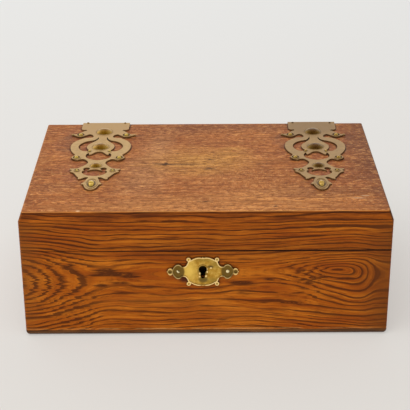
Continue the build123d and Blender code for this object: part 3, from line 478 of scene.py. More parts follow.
def waxed_wood(tree, tone, dark, smooth, shine):
    """Shader of waxed wood: late wood and pores lie a little lower and duller than the rest."""
    rough = add(tree, "MapRange", {0: dark, 3: smooth, 4: smooth + 0.14})
    sunk = {"Strength": 0.4, "Distance": 0.3 * MM, "Height": dark}
    sunk = add(tree, "Bump", sunk, invert=True)
    return add(
        tree,
        "BsdfPrincipled",
        {
            "Base Color": tone,
            "Roughness": rough,
            "Normal": sunk,
            "IOR": 1.5,
            "Specular IOR Level": shine,
        },
    )


# %% [markdown]
# ## The walls
# The four walls are the same oak, so one recipe makes them from its list of curves and stains. The
# front board has the full figure; the sides and the back are plainer, browner boards. Over the
# grain come the stains, a painted pale reflection of the table along the lower edge, and the dark
# parting line under the lid.

# %% Boards of the walls
OAK_DARK = "#472007"
# Each stain is its ellipses, its colour, how far from their middles it starts and ends to fade,
# and its share in the middle.
FRONT_STAINS = [
    ([(0, 124, 300, 38)], "#6A3206", 0.5, 1.1, 0.1),  # polish gone brown below the lid
    ([(26, 93, 130, 11), (-166, 119, 30, 8)], "#6A3206", 0.3, 1.4, 0.38),
    ([(-52, 37, 64, 8), (24, 26, 34, 8)], "#C87824", 0.3, 1.3, 0.22),  # worn pale
    ([(180, 6, 26, 24)], "#4A240C", 0.3, 1.2, 0.4),
    ([(-196, 74, 40, 96)], "#744218", 0.55, 1.1, 0.55),  # darker towards both ends
    ([(198, 60, 56, 120)], "#64340E", 0.55, 1.1, 0.66),
    ([(-21, 61, 4.8, 3.6)], "#431C12", 0.4, 1.3, 0.85),  # dirt and painted shade below the escutcheon's left lobe
    ([(-3.1, 69.5, 5, 7.5)], "#0E0603", 0.95, 1.05, 1.0),  # painted shade, black, seen through the keyhole
]
FRONT = {
    "depth": FRONT_DEPTH,
    "shift": FRONT_SHIFT,
    "calm": FRONT_CALM,
    "comb": FRONT_COMB,
    "round": FRONT_ROUND,
    "bold": FRONT_BOLD,
    "flecks": FRONT_FLECKS,
    "stains": FRONT_STAINS,
    "tones": ("#964607", "#AB580B", "#C67018"),
}
SIDE = {
    "depth": SIDE_DEPTH,
    "shift": SIDE_SHIFT,
    "calm": LEVEL,
    "comb": SIDE_COMB,
    "round": LEVEL,
    "bold": LEVEL,
    "flecks": SIDE_FLECKS,
    "stains": [([(0, -6, 190, 16)], "#5E3410", 0.5, 1.1, 0.5)],
    "tones": ("#944A0A", "#A8580E", "#C06C1A"),
}
BACK = {
    "depth": [(-180, 20), (-60, 26), (40, 16), (110, 12), (180, 22)],
    "shift": [(-180, 4), (0, -10), (180, 6)],
    "calm": LEVEL,
    "comb": SIDE_COMB,
    "round": LEVEL,
    "bold": LEVEL,
    "flecks": [(-30, 48, 14, 1.8), (64, 30, 9, 1.5)],
    "stains": [([(0, -6, 190, 16)], "#5E3410", 0.5, 1.1, 0.5)],
    "tones": ("#8C4C12", "#A05C18", "#B46E24"),
}
print("stains on the front:", len(FRONT_STAINS))

# %% Painted sheen at the foot, and wear at the parting line
FOOT, PARTING = (corner.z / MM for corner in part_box("front_wall"))
FOOT_SHEEN_UP, FOOT_SHEEN_REACH = 1.2, 0.6  # mm above the foot, and to each side of that
PARTING_REACH = 0.8  # mm to each side of the parting line that hold dirt
print("parting line:", round(PARTING, 1), "mm up")


def foot_sheen(tree, vector, length, up):
    """Painted reflection of the pale table on the rounded lower edge, 0 to 1, most in the middle:
    a pale line.
    """
    wear_and_sheen = add(tree, "Math", {0: up, 1: FOOT + FOOT_SHEEN_UP, 2: FOOT_SHEEN_REACH}, operation="COMPARE")
    painted_sheen = patches(tree, vector, (26, 26, 8), 3.0, 0.7, (2, 2, 2), (0.4, 0.58, 0.0, 0.62))
    middle = add(tree, "Math", {0: length}, operation="ABSOLUTE")
    middle = add(tree, "MapRange", {0: middle, 1: 60.0, 2: 120.0, 3: 1.0, 4: 0.45})
    painted_sheen = add(tree, "Math", {0: painted_sheen, 1: middle}, operation="MULTIPLY")
    return add(tree, "Math", {0: wear_and_sheen, 1: painted_sheen}, operation="MULTIPLY")


def parting_dirt(tree, length, up, level):
    """Grime at the parting line, 0 to 1, less at the left end, where the lid is lifted, and none
    on the edges of a wall that lie level."""
    joint = add(tree, "Math", {0: up, 1: PARTING, 2: PARTING_REACH}, operation="COMPARE")
    kept = add(tree, "MapRange", {0: length, 1: -120, 2: -30, 3: 0.1, 4: 1.0})
    joint = add(tree, "Math", {0: joint, 1: kept}, operation="MULTIPLY")
    upright = add(tree, "Math", {0: 1.0, 1: level}, operation="SUBTRACT")
    return add(tree, "Math", {0: joint, 1: upright}, operation="MULTIPLY")


# %% Oak of the walls
def oak(name, along, board, smooth=0.38):
    """Oak with figured rings. along is 0 for a board that lies along X, 1 for one along Y."""
    material, tree = new_material(name)
    vector, split = millimetres(tree)
    length, up = split.outputs[along], split.outputs[2]
    rings = ring_radius(tree, vector, length, up, board)
    grown, dark = dark_grain(tree, split, *rings)
    spots = flecks(tree, vector, length, up, board["flecks"])
    dark = add(tree, "Math", {0: dark, 1: spots}, operation="MAXIMUM")
    warm = patches(tree, vector, (90, 60, 14), 3.0, 0.55, (1, 1, 5))
    fine = patches(tree, grown, (45, 45, 1.5), 2.0, 0.6, (3, 5, 9), (0.3, 0.7, -0.2, 0.2))
    warm = add(tree, "Math", {0: warm, 1: fine})
    tone = add(tree, "ValToRGB", {0: warm}, stops=zip((0.28, 0.5, 0.74), board["tones"]))
    tone = add(tree, "Mix", {0: dark, 6: tone, 7: OAK_DARK}, data_type="RGBA")
    place = add(tree, "CombineXYZ", {0: length, 1: up})
    for wash in board["stains"]:
        tone = stain(tree, tone, place, *wash)
    # painted reflection: a pale line along the rounded lower edge, where it would mirror the table
    wear_and_sheen = foot_sheen(tree, vector, length, up)
    tone = add(tree, "Mix", {0: wear_and_sheen, 6: tone, 7: "#D69A58"}, data_type="RGBA")
    place = add(tree, "TexCoord")
    facing = add(tree, "SeparateXYZ", {0: place.outputs["Normal"]}).outputs[2]
    facing = add(tree, "Math", {0: facing}, operation="ABSOLUTE")
    level = add(tree, "MapRange", {0: facing, 1: 0.7, 2: 0.95})
    joint = parting_dirt(tree, length, up, level)
    tone = add(tree, "Mix", {0: joint, 6: tone, 7: "#1C0903"}, data_type="RGBA")
    # a wall's own upper and lower edges show the rings edge on, as straight lines
    size = [(60, 1.8, 4), (1.8, 60, 4)][along]
    edge = patches(tree, vector, size, 3.0, 0.65, (2, 1, 6), (0.46, 0.62, 0.0, 0.6))
    edge = add(tree, "Mix", {0: edge, 6: board["tones"][0], 7: OAK_DARK}, data_type="RGBA")
    tone = add(tree, "Mix", {0: level, 6: tone, 7: edge}, data_type="RGBA")
    # dirt, and painted shade, in the corners next to other pieces
    tone = dirt_and_shade(tree, tone, 4 * MM, "#2A1206", 0.75)
    return finish_material(material, waxed_wood(tree, tone, dark, smooth, 0.1))


oak_front = oak("waxed_oak_front", 0, FRONT)
oak_side = oak("waxed_oak_sides", 1, SIDE)
oak_back = oak("waxed_oak_back", 0, BACK, 0.46)

# %% [markdown]
# ## The faded top
# The top board is cut the other way, so it shows no figure. It has short pores along X and the
# fine ripple of oak that was planed across the rays. Half a century of light, and of other things
# set down on it, has left it pale, golden in the middle and brown or purple towards the edges,
# with a crack and a few dents. Each of these is a layer of its own: noise for the ripple and
# pores, soft ellipses with frayed edges for the washes. They could be painted on an image, but
# then the lid could not be scaled.

# %% Washes and marks on the top
TOP_GOLD = [(-6, 6, 60, 40), (26, 28, 26, 18)]
TOP_WARM = [(8, -104, 138, 24), (80, -80, 80, 20)]
TOP_PALE = [(-64, -30, 26, 56), (-52, 40, 20, 40)]
TOP_PURPLE = [(-120, 56, 38, 56), (-118, -20, 27, 40), (116, 56, 42, 56), (116, -22, 30, 40)]
TOP_BROWN = [
    (-32, 92, 40, 22), (176, 40, 44, 110), (-150, -60, 22, 14), (40, 102, 170, 17),
    (166, 98, 13, 20), (-184, -20, 22, 90), (176, -70, 24, 50), (110, -70, 60, 16),
]  # fmt: skip
TOP_WASHES = [
    (TOP_GOLD, "#CC9242", 0.3, 1.2, 0.75),
    (TOP_WARM, "#CE8846", 0.6, 1.2, 0.7),
    (TOP_PURPLE, "#8A5040", 0.3, 1.15, 0.6),
    (TOP_PALE, "#CC9866", 0.3, 1.3, 0.4),
    (TOP_BROWN, "#824C2C", 0.3, 1.2, 0.6),
    ([(184, 24, 38, 150)], "#663C26", 0.4, 1.2, 0.72),
]
TOP_MARKS = [
    (-40, -2.2, 8, 1.6), (4, -13, 6, 3.4), (-158, -14, 18, 0.9),
    (-29, 27, 2.2, 2.0), (5, 11, 5, 1.1), (60, -1, 14, 0.8), (66, -102, 2.0, 2.2),
    (-2, -91, 9, 1.3), (-30, 6, 6, 0.9),
]  # fmt: skip
# dark patches beside the straps' arms and outer edges: dirt and painted shade
TOP_DARK_BY_STRAPS = [
    (-143, 76, 9, 12), (-143, 46, 7, 15), (-74, 74, 7, 9), (81, 73, 7, 10), (151, 71, 7, 10),
    (78, 46, 6, 12), (149, 44, 6, 12), (-125, -48, 8, 8), (100, -48, 6, 7),
]  # fmt: skip
TOP_CRACK = [(-28, -0.8, 26, 1.2), (-40, 0.4, 2.2, 3.4), (-47, 0.6, 7, 1.0)]
TOP_CURL = [(46, -40, 60, 42)]
TOP_SCRATCHES = [(145, -85, 7, 0.8), (152, -80, 5, 0.7), (-119, -111, 2, 1.4)]
print("washes on the top:", len(TOP_WASHES), "marks:", len(TOP_MARKS))

# %% Sloping edges of the top
LID_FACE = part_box("top_board")[1].z / MM
RIM_BELOW, RIM_REACH = 1.9, 0.6  # mm from the face down to a dark line, and to each side of it


def lid_edge(tree, vector, split):
    """Dark figured oak of the sloping edges, and how dark its grain is, 0 to 1."""
    rings = ring_radius(tree, vector, split.outputs[0], split.outputs[2], FRONT)
    dark = dark_grain(tree, split, *rings)[1]
    warm = patches(tree, vector, (60, 60, 5), 3.0, 0.6, (1, 1, 5))
    edge = add(
        tree,
        "ValToRGB",
        {0: warm},
        stops=[(0.34, "#642E0C"), (0.5, "#90480E"), (0.68, "#B66216")],
    )
    edge = add(tree, "Mix", {0: dark, 6: edge, 7: OAK_DARK}, data_type="RGBA")
    rim = {0: split.outputs[2], 1: LID_FACE - RIM_BELOW, 2: RIM_REACH}
    rim = add(tree, "Math", rim, operation="COMPARE")
    rim = add(tree, "Math", {0: rim, 1: 0.6}, operation="MULTIPLY")
    return add(tree, "Mix", {0: rim, 6: edge, 7: "#3A1A08"}, data_type="RGBA"), dark


# %% Ripple of the upper face
def ripples(tree, vector, place):
    """Pale crests and dark dips of the ripple, 0 to 1 each. It is about 5 by 2.8 mm. Where the
    fibres curl, it closes up into lines 2.1 mm apart, set at a slant."""
    wavy = add(
        tree,
        "Mapping",
        {"Vector": vector, "Rotation": (0, 0, 0.35), "Scale": (0.2, 0.36, 0.2)},
    )
    wavy = add(
        tree,
        "TexNoise",
        {"Vector": wavy, "Scale": 1.0, "Detail": 3.0, "Roughness": 0.75, "Distortion": 0.6},
    )
    curl = add(
        tree,
        "Mapping",
        {"Vector": vector, "Rotation": (0, 0, -0.6), "Scale": (1 / 2.1, 1 / 7, 0.2)},
    )
    curl = add(
        tree,
        "TexNoise",
        {"Vector": curl, "Scale": 1.0, "Detail": 2.0, "Roughness": 0.6, "Distortion": 1.3},
    )
    away = spot_distance(tree, place, TOP_CURL)
    curled = add(tree, "MapRange", {0: away, 1: 0.4, 2: 1.2, 3: 1.0, 4: 0.0})
    high = add(tree, "MapRange", {0: wavy, 1: 0.47, 2: 0.38, 4: 0.66})
    crests = add(tree, "MapRange", {0: curl, 1: 0.48, 2: 0.38, 4: 0.5})
    crests = add(tree, "Math", {0: crests, 1: curled}, operation="MULTIPLY")
    low = add(tree, "MapRange", {0: wavy, 1: 0.51, 2: 0.6, 4: 0.7})
    dips = add(tree, "MapRange", {0: curl, 1: 0.5, 2: 0.62, 4: 0.5})
    dips = add(tree, "Math", {0: dips, 1: curled}, operation="MULTIPLY")
    high = add(tree, "Math", {0: high, 1: crests}, operation="MAXIMUM")
    return high, add(tree, "Math", {0: low, 1: dips}, operation="MAXIMUM")


# %% Upper face of the top
def lid_face(tree, vector, place, streak):
    """Colour of the faded upper face, and how dark its grain is, 0 to 1. Pores are 0.3 mm across
    and are drawn 1.9 mm wide to show."""
    cloud = patches(tree, vector, (60, 24, 90), 4.0, 0.62, (7, 3, 0))
    top = add(
        tree,
        "ValToRGB",
        {0: cloud},
        stops=[(0.3, "#A05A28"), (0.5, "#B0672E"), (0.7, "#C07636")],
    )
    fray = patches(tree, vector, (40, 14, 20), 4.0, 0.75, (3, 8, 1), (0.3, 0.7, -12.0, 12.0))
    frayed = add(tree, "VectorMath", {0: place, 1: fray})
    for wash in TOP_WASHES:
        top = stain(tree, top, frayed, *wash)
    crests, dips = ripples(tree, vector, frayed)
    pores = patches(tree, vector, (15, 1.9, 9), 4.0, 0.85, (1, 5, 3), (0.49, 0.61, 0.0, 0.85))
    grain = add(tree, "Math", {0: dips, 1: pores}, operation="MAXIMUM")
    grain = add(tree, "Math", {0: grain, 1: streak}, operation="MAXIMUM")
    top = add(tree, "Mix", {0: crests, 6: top, 7: "#DA9C5A"}, data_type="RGBA")
    top = add(tree, "Mix", {0: grain, 6: top, 7: "#66361A"}, data_type="RGBA")
    top = stain(tree, top, frayed, TOP_DARK_BY_STRAPS, "#54301F", 0.2, 1.3, 0.5)
    nudge = patches(tree, vector, (5, 2, 5), 2.0, 0.7, (2, 8, 1), (0.3, 0.7, -1.6, 1.6))
    nudged = add(tree, "VectorMath", {0: place, 1: nudge})
    top = stain(tree, top, nudged, TOP_MARKS, "#40220F", 0.3, 1.25, 0.8)
    top = stain(tree, top, place, TOP_CRACK, "#341A0A", 0.6, 1.2, 0.85)
    top = stain(tree, top, place, TOP_SCRATCHES, "#E8C8A0", 0.4, 1.2, 0.6)
    # dirt and painted shade keep to the edges of the straps: a wide soft halo, and in it a dark
    # line
    top = dirt_and_shade(tree, top, 12 * MM, "#5A3026", 0.45)
    return dirt_and_shade(tree, top, 4 * MM, "#2E160C"), grain


# %% Underside of the top
def lid_inside(tree, vector, streak):
    """Colour of the underside, which was only planed and oiled, and which light never reached."""
    inner = patches(tree, vector, (160, 12, 30), 3.0, 0.6, (4, 4, 2))
    inner = add(
        tree,
        "ValToRGB",
        {0: inner},
        stops=[(0.32, "#7C4418"), (0.5, "#94561F"), (0.7, "#A8672A")],
    )
    return add(tree, "Mix", {0: streak, 6: inner, 7: "#5A2E10"}, data_type="RGBA")


# %% Oak of the top
ARRIS = (0.4, 0.55, 0.8, 0.95)  # upward part of the normal across the rounded upper edge


def oak_lid(name):
    """Faded, rippled oak above, dark figured oak on the sloping edges and plain oak below."""
    material, tree = new_material(name)
    vector, split = millimetres(tree)
    place = add(tree, "CombineXYZ", {0: split.outputs[0], 1: split.outputs[1]})
    streak = patches(tree, vector, (70, 4, 30), 3.0, 0.65, (1, 6, 0), (0.48, 0.64, 0.0, 0.6))
    edge, edge_dark = lid_edge(tree, vector, split)
    top, grain = lid_face(tree, vector, place, streak)
    turned = add(tree, "TexCoord")
    normal = add(tree, "SeparateXYZ", {0: turned.outputs["Normal"]})
    sideways, facing = normal.outputs[0], normal.outputs[2]
    upward = add(tree, "MapRange", {0: facing, 1: ARRIS[1], 2: ARRIS[2]})
    tone = add(tree, "Mix", {0: upward, 6: edge, 7: top}, data_type="RGBA")
    # painted highlight: the rounded upper edge is painted pale where it turns up towards the light
    painted_sheen = add(tree, "MapRange", {0: facing, 1: ARRIS[0], 2: ARRIS[1]})
    flat = add(tree, "MapRange", {0: facing, 1: ARRIS[2], 2: ARRIS[3], 3: 0.6, 4: 0.0})
    painted_sheen = add(tree, "Math", {0: painted_sheen, 1: flat}, operation="MULTIPLY")
    tone = add(tree, "Mix", {0: painted_sheen, 6: tone, 7: "#D08E4C"}, data_type="RGBA")
    # painted shade: the sloping right edge, turned away from the light, is painted dark
    right_edge_shade = add(tree, "MapRange", {0: sideways, 1: 0.12, 2: 0.4, 4: 0.7})
    above = add(tree, "MapRange", {0: facing, 1: 0.3, 2: ARRIS[0]})
    right_edge_shade = add(tree, "Math", {0: right_edge_shade, 1: above}, operation="MULTIPLY")
    tone = add(tree, "Mix", {0: right_edge_shade, 6: tone, 7: "#3A2616"}, data_type="RGBA")
    inner = lid_inside(tree, vector, streak)
    below = add(tree, "MapRange", {0: facing, 1: -0.9, 2: -0.5, 3: 1.0, 4: 0.0})
    tone = add(tree, "Mix", {0: below, 6: tone, 7: inner}, data_type="RGBA")
    dark = add(tree, "Mix", {0: upward, 2: edge_dark, 3: grain})
    return finish_material(material, waxed_wood(tree, tone, dark, 0.42, 0.1))


oak_top = oak_lid("waxed_oak_top")

# %% [markdown]
# ## Plain wood
# The bottom board's edge is seen all round the foot. It has taken up dirt from every table that it
# stood on, so it is greyer and darker than the walls. The divisions inside are thin quartered oak,
# oiled and never polished: paler, dry, with short straight pores. Both are one recipe with its own
# tones, as plain wood is: two sizes of noise, stretched along the grain.


# %% Oak of the bottom and of the divisions
def plain_oak(name, size, tones, smooth):
    """Straight-grained oak. size is the length of a pore along X, Y and Z in mm. The last of the
    tones is that of the pores."""
    material, tree = new_material(name)
    vector = millimetres(tree)[0]
    warm = patches(tree, vector, [4 * s for s in size], 3.0, 0.6, (4, 7, 1))
    tone = add(tree, "ValToRGB", {0: warm}, stops=zip((0.32, 0.5, 0.7), tones[:3]))
    pores = patches(tree, vector, size, 3.0, 0.65, (1, 3, 6), (0.48, 0.64, 0.0, 0.8))
    tone = add(tree, "Mix", {0: pores, 6: tone, 7: tones[3]}, data_type="RGBA")
    # dirt, and painted shade, in the corners next to other pieces
    tone = dirt_and_shade(tree, tone, 6 * MM, "#2A1608", 0.5)
    return finish_material(material, waxed_wood(tree, tone, pores, smooth, 0.2))


oak_bottom = plain_oak(
    "worn_oak_bottom", (26, 22, 1.2), ("#54310F", "#6B411A", "#825325", "#361D0A"), 0.5
)
oak_divisions = plain_oak(
    "oiled_oak_divisions", (13, 13, 1.1), ("#8E5C2C", "#A06C36", "#B27E44", "#5E3818"), 0.55
)

# %% [markdown]
# ## Baize
# The floor of the box is lined with baize: wool, woven, then milled until the weave is hidden
# under a nap. The nap scatters light, which makes the cloth dull face on and pale at a slant, and
# it has pressed and faded places. Real hairs are a few hundredths of a millimetre thick. They are
# drawn as clumps 0.8 mm across, which is as fine as shows from arm's length.

# %% Baize of the lining
baize, tree = new_material("milled_green_baize")
vector = millimetres(tree)[0]
nap = patches(tree, vector, (0.8, 0.8, 0.8), 3.0, 0.7)
pressed = patches(tree, vector, (46, 60, 20), 3.0, 0.6, (2, 5, 1))
tone = add(
    tree,
    "ValToRGB",
    {0: pressed},
    stops=[(0.3, "#1E3A28"), (0.5, "#274832"), (0.72, "#365A3E")],
)
hair = add(tree, "MapRange", {0: nap, 1: 0.4, 2: 0.66, 4: 0.5})
tone = add(tree, "Mix", {0: hair, 6: tone, 7: "#5C7A58"}, data_type="RGBA")
fuzz = add(tree, "Bump", {"Strength": 0.6, "Distance": 0.6 * MM, "Height": nap})
shader = add(
    tree,
    "BsdfPrincipled",
    {
        "Base Color": tone,
        "Roughness": 0.95,
        "Normal": fuzz,
        "Specular IOR Level": 0.1,
        "Sheen Weight": 0.5,
        "Sheen Roughness": 0.5,
    },
)
baize = finish_material(baize, shader)

# %% [markdown]
# ## Brass
# All the brass is metal with a thin old lacquer, but each part was worked differently. The straps
# were cast in sand and filed flat, which leaves them satin. The domed studs were pressed from
# sheet and have browned. The pins were turned and stayed bright, and the escutcheon was cast, with
# its rims rubbed bright and its sunk lobes gone dark. Metal takes its look from what it reflects,
# so each recipe sets a colour, where dirt and painted shade sit, and how blurred the reflection
# is;
# the domes, pins and escutcheon also carry painted highlights and reflections.

# %% Where things are on a strap
LEAN = math.radians(1.2)  # both straps lie askew, tips to the left
STRAP_AT = {"left": (-107.8, 112.8), "right": (116.1, 110.8)}  # middle of the back edge, mm
CUPS = [(24.4, -37.0, 3.9), (22.0, -99.3, 3.6)]  # a pin's cup: out, forwards and radius
LEAF_CUPS = [(17.9, -132.1, 2.4)]
DOTS = [(10.4, -81.5)]  # a bead on each lower corner of the middle leaf
DOT_DIRT_AND_SHADE = 2.1  # mm, radius of the dirt and painted shade round a bead
SEATS = [(-27.3, 9.0), (-69.7, 9.0), (-119.7, 6.3)]  # a dome's rim: forwards and radius
FLOWER = (0, -165.0)  # middle of the flower at the tip
print("straps lean", round(math.degrees(LEAN), 1), "degrees")


# %% Old metal
def worn_metal(tree, tone, height, rough, bare=1.0):
    """Shader of lacquered brass: rough from noise, a little bumpy from height. bare is the share
    of the surface that mirrors; the rest is a film of old lacquer and dust, which doesn't."""
    smooth = add(tree, "MapRange", {0: height, 1: 0.3, 2: 0.7, 3: rough - 0.05, 4: rough + 0.07})
    bump = add(tree, "Bump", {"Strength": 0.25, "Distance": 0.3 * MM, "Height": height})
    return add(
        tree,
        "BsdfPrincipled",
        {"Base Color": tone, "Metallic": bare, "Roughness": smooth, "Normal": bump},
    )


# %% Brass of the straps
BRASS_DIRT_AND_SHADE = "#3E2C12"


def strap_brass(name, side, tones, dull):
    """Cast brass, filed flat and lacquered. dull is the wash over the plain plate at the back."""
    material, tree = new_material(name)
    vector = millimetres(tree)[0]
    local = add(
        tree,
        "Mapping",
        {"Vector": vector, "Location": (*STRAP_AT[side], 0), "Rotation": (0, 0, -LEAN)},
        vector_type="TEXTURE",
    )
    parts = add(tree, "SeparateXYZ", {0: local})
    out = add(tree, "Math", {0: parts.outputs[0]}, operation="ABSOLUTE")
    place = add(tree, "CombineXYZ", {0: out, 1: parts.outputs[1]})
    mottle = patches(tree, vector, (6, 7, 5), 4.0, 0.68, (2, 3, 4))
    tone = add(tree, "ValToRGB", {0: mottle}, stops=zip((0.3, 0.5, 0.7), tones))
    tone = stain(tree, tone, place, [(0, -14, 40, 30)], dull, 0.5, 1.1, 0.8)
    # the cups round the pins and beads, and the flower within its rim, are painted dark: dirt and
    # painted shade
    cups = [(u, v, r, r) for u, v, r in CUPS + LEAF_CUPS]
    cups += [(u, v, DOT_DIRT_AND_SHADE, DOT_DIRT_AND_SHADE) for u, v in DOTS]
    tone = stain(tree, tone, place, cups, BRASS_DIRT_AND_SHADE, 0.95, 1.1, 0.85)
    tone = stain(tree, tone, place, [(*FLOWER, 4.7, 8.6)], BRASS_DIRT_AND_SHADE, 0.8, 1.05, 0.8)
    # dirt, and painted shade, in the corners next to other pieces
    tone = dirt_and_shade(tree, tone, 3 * MM, BRASS_DIRT_AND_SHADE, 0.6)
    return finish_material(material, worn_metal(tree, tone, mottle, 0.42, 0.75))


# the right strap's tones are darker and greyer: partly tarnish, partly painted shade standing for
# the darker reflection it shows
STRAP_BRASS = {
    "left": strap_brass(
        "lacquered_cast_brass_left", "left", ("#BE9860", "#CCA66B", "#DAB479"), "#C49D67"
    ),
    "right": strap_brass(
        "lacquered_cast_brass_right", "right", ("#A68252", "#B4905D", "#C29D69"), "#98764A"
    ),
}

# %% Brass of the studs and pins
FADE_X = (-20, 60)  # mm along X over which the left strap's tones give way to the right one's


def turned_brass(name, bright, brown, rough, flank_sheen=None, back=None, bare=1.0):
    """Brass turned or pressed into domes and beads. brown holds its darker tones on the right.
    flank has the paler tones painted on a dome's sides, left and right, a painted reflection, and
    back those painted on the side that faces the back, a painted reflection of the bright walls
    there."""
    material, tree = new_material(name)
    vector, split = millimetres(tree)
    mottle = patches(tree, vector, (3, 3, 3), 3.0, 0.6, (2, 3, 4))
    places = (0.3, 0.55, 0.75)
    left = add(tree, "ValToRGB", {0: mottle}, stops=zip(places, bright))
    right = add(tree, "ValToRGB", {0: mottle}, stops=zip(places, brown))
    side = add(tree, "MapRange", {0: split.outputs[0], 1: FADE_X[0], 2: FADE_X[1]})
    tone = add(tree, "Mix", {0: side, 6: left, 7: right}, data_type="RGBA")
    place = add(tree, "TexCoord")
    normal = add(tree, "SeparateXYZ", {0: place.outputs["Normal"]})
    # painted reflection: a dome's left and right sides are painted paler
    if flank_sheen:
        flank_sheen_share = add(tree, "Math", {0: normal.outputs[0]}, operation="ABSOLUTE")
        flank_sheen_share = add(tree, "MapRange", {0: flank_sheen_share, 1: 0.15, 2: 0.5, 4: 0.9})
        sides = add(tree, "Mix", {0: side, 6: flank_sheen[0], 7: flank_sheen[1]}, data_type="RGBA")
        tone = add(tree, "Mix", {0: flank_sheen_share, 6: tone, 7: sides}, data_type="RGBA")
    # painted reflection: the side that faces the back is painted pale, where it would mirror the
    # bright walls
    behind = add(tree, "MapRange", {0: normal.outputs[1], 1: 0.08, 2: 0.26})
    if back:
        pale = add(tree, "Mix", {0: side, 6: back[0], 7: back[1]}, data_type="RGBA")
        tone = add(tree, "Mix", {0: behind, 6: tone, 7: pale}, data_type="RGBA")
    # the corners are painted less dark where the pale painted reflection lies
    most = add(tree, "MapRange", {0: behind, 3: 0.5, 4: 0.1})
    tone = dirt_and_shade(tree, tone, 2 * MM, "#33240C", most)
    return finish_material(material, worn_metal(tree, tone, mottle, rough, bare))


# the flank and back tones are painted reflections
STUDS = turned_brass(
    "browned_pressed_brass",
    ("#865A06", "#926408", "#A87C16"),
    ("#583604", "#623E06", "#764E10"),
    0.28,
    ("#B8903E", "#846424"),
    ("#F6D08C", "#CCA662"),
    bare=0.82,
)
# the back tones are a painted reflection
PINS = turned_brass(
    "bright_turned_brass",
    ("#D8AA44", "#F2CC60", "#FFE68C"),
    ("#BC9040", "#D8B054", "#ECCA74"),
    0.28,
    back=("#FFECC0", "#FFE4B4"),
    bare=0.8,
)

# %% [markdown]
# ## The escutcheon
# The plate round the keyhole is a thicker casting, and hands and keys have worked on it more than
# on the rest. Its raised rims shine, its sunk lobes have gone dark olive, and a key that missed
# has nicked the edge of the hole. All of it lies within a few millimetres, so noise would never
# hit it: it is drawn as ellipses measured from the keyhole, and the rims are found by their depth.

# %% Marks on the escutcheon
ESCUTCHEON_AT = (-3.1, 70.2)  # mm: its middle, right of the box's middle and above the floor
ESCUTCHEON_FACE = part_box("escutcheon")[0].y / MM
RIM_SHINE = (0.1, 0.3)  # mm behind the face: where the shine starts to fade, and where it ends
PIN_OUT = 23.4  # mm from the keyhole to the pin in each lobe
LOBES = [(-PIN_OUT, 0, 6.2, 8.5), (PIN_OUT, 0, 6.2, 8.5), (-31, 0, 2.2, 2.2), (31, 0, 2.2, 2.2)]
KEY_SHADE = [(0, 0.6, 5.2, 6.6), (0.3, -8.6, 5.0, 3.6), (7.2, 5.0, 3.4, 1.6)]
# painted shade: the keyhole's inner walls are painted near black
KEY_HOLE_SHADE = [(0, 2.5, 3.9, 3.9), (0, -2.6, 2.3, 4.5)]
KEY_NICKS = [
    (-3.0, -2.0, 0.9, 1.3), (-3.2, -5.4, 0.8, 1.0), (3.9, 2.8, 0.6, 1.3), (4.1, -0.4, 0.8, 1.4),
    (3.0, -4.8, 1.0, 1.2), (7.6, 3.6, 1.1, 0.9),
]  # fmt: skip
RIM_GAPS = [
    (-19.2, 5.4, 1.7, 1.9), (-20.2, -5.4, 2.2, 2.0), (27.3, 3, 2.0, 3.4), (27.0, -3.6, 2.2, 3.0),
    (28.4, 0, 1.6, 3.2), (15.6, -5.6, 1.6, 1.6), (-31, 0, 2.8, 2.8), (31, 0, 2.8, 2.8),
    (-PIN_OUT, 0, 7.2, 7.6), (PIN_OUT, 0, 7.2, 7.6),
]  # fmt: skip
PLATE_WASHES = [
    ([(14, 8, 9, 6), (2, 13, 12, 3), (10, -10, 8, 4)], "#947C38", 0.3, 1.2, 0.6),
    # painted highlight: the left side of the domed plate is painted pale, where it turns to the
    # light
    ([(-13, 1, 8, 12)], "#F6CE64", 0.2, 1.2, 0.8),
    (LOBES, "#685024", 0.85, 1.08, 0.92),
    (KEY_SHADE, "#5E4E2A", 0.6, 1.15, 0.85),
]
print("escutcheon's face at y =", round(ESCUTCHEON_FACE, 1), "mm")


